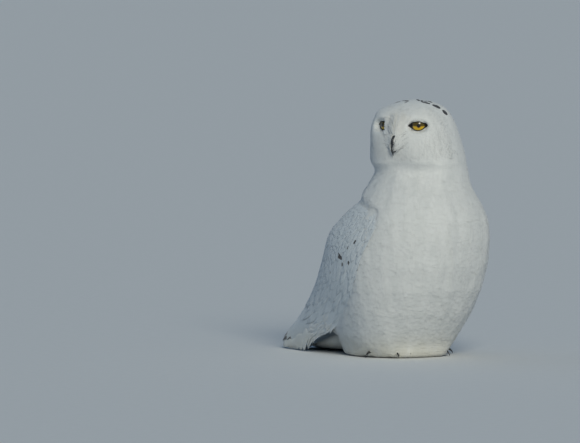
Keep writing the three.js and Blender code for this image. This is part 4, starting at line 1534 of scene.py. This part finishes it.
class OWL_OT_eyes(bpy.types.Operator):
    """Eyeballs, and lids with a black rim"""

    bl_idname = "owl.eyes"
    bl_label = "Eyes and lids"

    def execute(self, context):
        lid = lid_material()
        skin = surface(bpy.data.objects["skin"].data)
        for side, word in ((1, "left"), (-1, "right")):
            # each iris carries the brow's painted shade from above; on the right one this painted shade
            # reaches a little further down than on the left one
            eye = eye_material(f"owl eye {word}", *((-0.20, 0.03) if side > 0 else (-0.40, -0.17)))
            centre, outer, up, gaze = eye_frame(side)
            rows, columns = 40, 48
            polar = np.linspace(0, math.pi, rows)[1:-1]
            round_ = np.linspace(0, 2 * math.pi, columns, endpoint=False)
            P, R = np.meshgrid(polar, round_, indexing="ij")
            local = np.stack((np.sin(P) * np.cos(R), np.sin(P) * np.sin(R), np.cos(P)), -1).reshape(-1, 3)
            local = np.vstack((local, (0, 0, 1), (0, 0, -1)))
            bulge = 1 + 0.035 * np.exp(-(np.arccos(np.clip(local[:, 2], -1, 1)) / 0.55) ** 2)
            ways = local[:, :1] * outer + local[:, 1:2] * up + local[:, 2:] * gaze
            place = centre + EYE_RADIUS * 0.985 * bulge[:, None] * ways
            faces = grid_faces(rows - 2, columns, closed=True)[:, :: (1 if side < 0 else -1)].tolist()
            last = len(local) - 1
            for c in range(columns):
                n = (c + 1) % columns
                top = (last - 1, c, n)
                end = ((rows - 3) * columns + c, last, (rows - 3) * columns + n)
                faces.append(top if side > 0 else top[::-1])
                faces.append(end if side > 0 else end[::-1])
            ball = mesh_piece(f"eyeball_{word}", to_frame(place), faces, eye)
            gazes = local.copy()
            gazes[:, :2] *= EYE_RADIUS / IRIS_RADIUS
            keep(ball.data, "gaze", gazes, "FLOAT_VECTOR")
            give_place(ball, (f"eye_{word}",))
            # lids: rings from just inside the opening, over the rim, out to the skin
            ring, away, corner = opening(LID_POINTS)
            turn = ring[:, 0]
            rings, rims = [], []
            longer = 0.8 if side > 0 else 0.0
            for grow, point, lift, rim in LID_RINGS:
                at_corner = point * (1 + longer * (ring[:, 0] > 0)) * corner
                flat = ring + away * (grow * (1 - corner) + at_corner)[:, None]
                h, v = flat.T
                reach = np.hypot(h, v)
                d = (
                    np.sqrt(np.maximum(14.0**2 - np.minimum(reach, 12.6) ** 2, 0)) + lift
                    + (1.0 if side < 0 and grow > 0 else 0.0)
                )
                share = ease(0.3, 4.2, grow + 1.5 * corner * (grow > 0.5))
                for k in np.nonzero(share > 0)[0]:
                    start = to_frame(centre + h[k] * outer + v[k] * up + 40 * gaze)
                    hit = skin.ray_cast(Vector(start), Vector(-gaze))
                    if hit[0] is not None:
                        on_skin = 40 - hit[3] / MM - 0.3
                        d[k] = max(
                            d[k] * (1 - share[k]) + on_skin * share[k],
                            on_skin + 1.0 * corner[k] * rim - 9 * (rim == 0)
                        )
                rings.append(centre + h[:, None] * outer + v[:, None] * up + d[:, None] * gaze)
                rims.append(np.full(len(turn), float(rim)))
            faces = grid_faces(len(rings), len(turn), closed=True)
            if side > 0:
                faces = faces[:, ::-1]
            piece = mesh_piece(f"lids_{word}", to_frame(np.vstack(rings)), faces[:, ::-1], lid)
            keep(piece.data, "rim", np.concatenate(rims))
            finish = piece.modifiers.new("Smooth", "SUBSURF")
            finish.levels = finish.render_levels = 1
            give_place(piece)
        return {"FINISHED"}


def tube(rows, around, table, shape):
    """A lofted horn: rows along a table, closed at both ends."""
    t = np.linspace(0, 1, rows)
    turn = np.linspace(0, 2 * math.pi, around, endpoint=False)
    values = follow(table, t)
    points = np.vstack([shape(row, turn) for row in values])
    faces = [tuple(f) for f in grid_faces(rows, around, closed=True)]
    first, last = points[:around].mean(0), points[-around:].mean(0)
    points = np.vstack((points, first, last))
    n = rows * around
    for k in range(around):
        j = (k + 1) % around
        faces.append((j, k, n))
        faces.append((n - around + k, n - around + j, n + 1))
    return points, faces


def strands_piece(name, paths, widths, tones, marks, material, soft=0.0):
    """Fine tapered strands along curves of three points each, as one closed mesh."""
    rings, around = 6, 3
    u = np.linspace(0, 1, rings)[None, :, None]
    a, b, c = (np.asarray([p[k] for p in paths])[:, None, :] for k in range(3))
    line = (1 - u) ** 2 * a + 2 * u * (1 - u) * b + u**2 * c
    way = unit(2 * (1 - u) * (b - a) + 2 * u * (c - b))
    flat = unit(np.cross(way, np.broadcast_to(head_way(0.0, 1.0, 0.0), way.shape)))
    deep = np.cross(flat, way)
    taper = (np.array((0.55, 1.0, 0.95, 0.75, 0.45, 0.04))[None, :] * np.asarray(widths)[:, None])[..., None]
    points = np.stack(
        [line + taper * (math.cos(t) * flat + 0.5 * math.sin(t) * deep) for t in (0.52, 2.62, 4.71)], 2
    )
    each = rings * around
    one = grid_faces(rings, around, closed=True)
    faces = [tuple(f + k * each) for k in range(len(paths)) for f in one]
    for first in range(0, len(paths) * each, each):
        last = first + each - 1
        faces += [(first + 2, first + 1, first), (last - 2, last - 1, last)]
    piece = mesh_piece(name, to_frame(points.reshape(-1, 3)), faces, material)
    mesh = piece.data
    if sum_out(mesh) < 0:
        mesh.flip_normals()
    many = len(paths)
    keep(mesh, "tone", np.repeat(tones, each))
    keep(mesh, "mark", np.repeat(marks, each))
    along = np.tile(np.repeat(u.ravel(), around), many)
    across = np.tile((-0.9, 0.9, 0.0), many * rings)
    keep(mesh, "vane", np.stack((along, across, np.repeat(tones, each) * TONE_STEP), -1), "FLOAT_VECTOR")
    # each strand's patch of the map, where its root would lie on the skin's
    skin = bpy.data.objects["skin"].data
    tree, loops = surface(skin), read(skin, "OFBake", 2)
    skin.calc_loop_triangles()
    under = [tree.find_nearest(Vector(p)) for p in to_frame(line[:, 0]).tolist()]
    spots = np.array([loops[skin.loop_triangles[hit[2]].loops[0]] for hit in under])
    soften(mesh, np.repeat([tuple(hit[1]) for hit in under], each, 0), soft)
    across = np.tile((-0.2, 0.2, 0.0), many * rings)
    patch = np.repeat(spots, each, 0) + 0.003 * np.stack((along - 0.5, across), -1)
    keep(mesh, "OFBake", at_corners(mesh, patch), "FLOAT2", "CORNER")
    give_place(piece)


class OWL_OT_bristles(bpy.types.Operator):
    """Bristles that sweep over the bill, and the ridge of feathers between the eyes"""

    bl_idname = "owl.bristles"
    bl_label = "Bristles and brow"

    def execute(self, context):
        rng = np.random.default_rng(61)
        skin = surface(bpy.data.objects["skin"].data)
        material = plumage_material("owl bristles", plumage_colours(), barbs=1.0, bump=0.05)
        bill = np.array(BILL_UPPER, float)

        def on_skin(side, height):
            start = to_frame(from_head(side, 95.0, height))
            hit = skin.ray_cast(Vector(start), Vector(head_way(0.0, -1.0, 0.0)))
            return to_head(to_bird(np.array(hit[0])))[1]

        paths, widths, tones, marks = [], [], [], []

        def strand(path, width, tone, mark):
            paths.append([from_head(*p) for p in path])
            widths.append(width)
            tones.append(tone)
            marks.append(mark)

        for hand in (-1, 1):
            for _ in range(420):
                reach = 4 + 22 * rng.uniform() ** 1.3
                height = rng.uniform(338, 364) + 4 * ease(8, 24, reach)
                root = np.array((hand * reach, on_skin(hand * reach, height) - 0.5, height))
                drop = rng.uniform(9, 17) * (0.7 + 0.3 * ease(345, 360, height))
                low = max(height - drop, 327 + 0.2 * reach + rng.uniform(0, 9))
                aside = 1.1 * (1 - ease(345, 350, low)) + 0.42 * (reach - 4) + rng.uniform(-0.1, 0.9)
                front = np.interp(-low, -bill[:, 1], bill[:, 0]) + 3.0 - 0.35 * aside
                front = front - (1.0 if hand > 0 else 1.3) * max(aside - 2.5, 0.0)
                tip = np.array((hand * aside, max(front, on_skin(hand * aside, low) + 0.4), low))
                middle = (root + tip) / 2 + np.array((hand * 1.0, 2.6, 1.6))
                width, tone, mark = rng.uniform(0.3, 0.5), rng.uniform(), rng.uniform(0.2, 0.33)
                strand((root, middle, tip), width, tone, mark * (rng.uniform() < (0.3 if hand > 0 else 0.4)))
            for _ in range(170):
                reach = rng.uniform(0.5, 10)
                height = rng.uniform(357, 386)
                root = np.array((hand * reach, on_skin(hand * reach, height) - 0.5, height))
                stand = (3.6 - 0.2 * reach) * (1 - ease(376, 388, height) * 0.7) * rng.uniform(0.7, 1.1)
                middle = root + np.array((hand * 1.0, stand, 3.5))
                tip = root + np.array((hand * (3.0 + 0.2 * reach), stand * 0.6, rng.uniform(8, 12)))
                strand((root, middle, tip), rng.uniform(0.35, 0.55), rng.uniform(0, 0.3), 0.0)
            for _ in range(150 if hand < 0 else 40):  # the fluff beside the bridge, fuller on the far side
                height = rng.uniform(357, 385) if hand < 0 else rng.uniform(374, 386)
                reach = rng.uniform(10, 15.5)
                root = np.array((hand * reach, on_skin(hand * reach, height) - 1.0, height))
                end = root + np.array((hand * 5, -1.5, 5))
                if hand < 0:
                    side = hand * (rng.uniform(22.2, 23.8) + 1.8 * (height < 363))
                    end = np.array((side, rng.uniform(54.5, 56.5), height + rng.uniform(-1, 3)))
                middle = (root + end) / 2 + np.array((hand * 1.5, 5.0 if hand < 0 else 2.0, 1.5))
                strand((root, middle, end), rng.uniform(0.55, 0.8), rng.uniform(0, 0.3), 0.0)
        strands_piece("bristles", paths, widths, tones, marks, material, soft=0.8)
        return {"FINISHED"}


class OWL_OT_bill(bpy.types.Operator):
    """Hooked upper bill and lower bill"""

    bl_idname = "owl.bill"
    bl_label = "Bill"

    def execute(self, context):
        horn = horn_material("owl bill", (0.018, 0.019, 0.022, 1), (0.06, 0.062, 0.068, 1), 0.35)

        def upper(row, turn):
            forward, z, wide, tall = row
            c, s = np.cos(turn), np.sin(turn)
            narrow = 1 - 0.35 * np.maximum(s, 0) ** 1.5
            return from_head(
                wide * c * narrow, forward + 0.25 * tall * np.maximum(s, 0),
                z + tall * s * np.where(s < 0, 0.75, 1.0)
            )

        def lower(row, turn):
            forward, z, wide, tall = row
            return from_head(wide * np.cos(turn), forward, z + tall * np.sin(turn))

        for name, table, shape, node in (
            ("upper_bill", BILL_UPPER, upper, "bill_upper"), ("lower_bill", BILL_LOWER, lower, "bill_lower")
        ):
            points, faces = tube(26, 24, table, shape)
            piece = mesh_piece(name, to_frame(points), faces, horn)
            face_outwards(piece.data, piece.data)
            give_place(piece, (node,))
        return {"FINISHED"}


def face_outwards(mesh, target, weld=0.0):
    """Writes the mesh into the target with its faces looking outwards, points nearer than weld as one."""
    work = bmesh.new()
    work.from_mesh(mesh)
    if weld:
        bmesh.ops.remove_doubles(work, verts=work.verts, dist=weld)
    bmesh.ops.recalc_face_normals(work, faces=work.faces)
    work.to_mesh(target)
    work.free()


class OWL_OT_claws(bpy.types.Operator):
    """Smooth black claws"""

    bl_idname = "owl.claws"
    bl_label = "Claws"

    def execute(self, context):
        horn = horn_material("owl claw", (0.02, 0.02, 0.022, 1), (0.07, 0.068, 0.066, 1), 0.32)
        for name in CLAWS:
            mesh = bpy.data.meshes.new(name.replace("claw", "talon"))
            face_outwards(frame["nodes"][name].data, mesh, weld=1e-5)
            mesh.materials.clear()
            mesh.materials.append(horn)
            mesh.polygons.foreach_set("use_smooth", [True] * len(mesh.polygons))
            piece = link(bpy.data.objects.new(mesh.name, mesh))
            finish = piece.modifiers.new("Smooth", "SUBSURF")
            finish.levels = finish.render_levels = 2
            give_place(piece, (name,))
        return {"FINISHED"}


class OWL_OT_stage(bpy.types.Operator):
    """Floor, lights and camera"""

    bl_idname = "owl.stage"
    bl_label = "Stage"

    def execute(self, context):
        scene = context.scene
        scene.view_settings.view_transform = "Standard"
        material, m, shader = new_material("plain floor")
        place = m.add("ShaderNodeTexCoord")
        fine = m.noise(place.outputs["Object"], 60.0, 3.0)
        m.feed(shader.inputs["Base Color"], m.mix(fine, (0.74, 0.75, 0.75, 1), (0.78, 0.79, 0.79, 1)))
        shader.inputs["Roughness"].default_value = 0.9
        size, n = 45.0, 24
        lines = np.linspace(-size, size, n)
        X, Y = np.meshgrid(lines, lines, indexing="ij")
        floor = mesh_piece(
            "floor", np.stack((X, Y, np.zeros_like(X)), -1).reshape(-1, 3), grid_faces(n, n)[:, ::-1],
            material
        )
        if floor.data.polygons[0].normal.z < 0:
            floor.data.flip_normals()
        world = bpy.data.worlds.new("soft grey")
        world.use_nodes = True
        background = world.node_tree.nodes["Background"]
        background.inputs["Color"].default_value = (0.34, 0.62, 1.0, 1)
        background.inputs["Strength"].default_value = 0.19
        scene.world = world

        # a camera far off, with a picture 0.928 m wide at the owl
        around, lift, away, view = math.radians(-35), math.radians(3), 12.0, 0.928
        back = Vector((math.sin(around) * math.cos(lift), -math.cos(around) * math.cos(lift), math.sin(lift)))
        right = Vector((math.cos(around), math.sin(around), 0))
        up = back.cross(right)
        aim = Vector((0, SHIFT[1] * MM, 0)) - right * 0.1888 + up * 0.2152
        data = bpy.data.cameras.new("camera")
        camera = link(bpy.data.objects.new("camera", data))
        data.sensor_width, data.sensor_fit = 36.0, "HORIZONTAL"
        data.lens = data.sensor_width * away / view
        data.clip_start, data.clip_end = 0.1, 300.0
        rotation = Matrix((right, up, back)).transposed().to_4x4()
        camera.matrix_world = Matrix.Translation(aim + back * away) @ rotation
        scene.camera = camera

        # name, bearing, height and width in degrees, strength, colour
        lamps = (
            ("key", -23, 29, 24, 1.9, (1.0, 0.97, 0.84)),
            ("fill from behind", 200, 40, 60, 0.2, (0.8, 0.9, 1.0)),
        )
        for name, azimuth, height, wide, power, colour in lamps:
            a, e = math.radians(azimuth), math.radians(height)
            way = Vector((math.sin(a) * math.cos(e), -math.cos(a) * math.cos(e), math.sin(e)))
            lamp = bpy.data.lights.new(name, "SUN")
            lamp.angle, lamp.energy, lamp.color = math.radians(wide), power, colour
            obj = link(bpy.data.objects.new(name, lamp))
            obj.matrix_world = Matrix.Translation(way * 3) @ way.to_track_quat("Z", "Y").to_matrix().to_4x4()
        return {"FINISHED"}


class OWL_PT_panel(bpy.types.Panel):
    """The owl's pieces"""

    bl_idname = "OWL_PT_panel"
    bl_label = "Snowy owl"
    bl_space_type = "VIEW_3D"
    bl_region_type = "UI"
    bl_category = "Owl"

    def draw(self, context):
        for name in OwlSizes.__annotations__:
            self.layout.prop(context.scene.owl_sizes, name)
        for operator in OPERATORS:
            self.layout.operator(operator.bl_idname)


OPERATORS = (
    OWL_OT_skin, OWL_OT_coat, OWL_OT_wings, OWL_OT_fringes, OWL_OT_tail, OWL_OT_eyes, OWL_OT_bill,
    OWL_OT_bristles, OWL_OT_claws, OWL_OT_stage
)


def register():
    for cls in (OwlSizes, *OPERATORS, OWL_PT_panel):
        bpy.utils.register_class(cls)
    bpy.types.Scene.owl_sizes = bpy.props.PointerProperty(type=OwlSizes)


def unregister():
    del bpy.types.Scene.owl_sizes
    for cls in reversed((OwlSizes, *OPERATORS, OWL_PT_panel)):
        bpy.utils.unregister_class(cls)


def main():
    register()
    for operator in OPERATORS:
        group, name = operator.bl_idname.split(".")
        getattr(getattr(bpy.ops, group), name)()


if __name__ == "__main__":
    main()
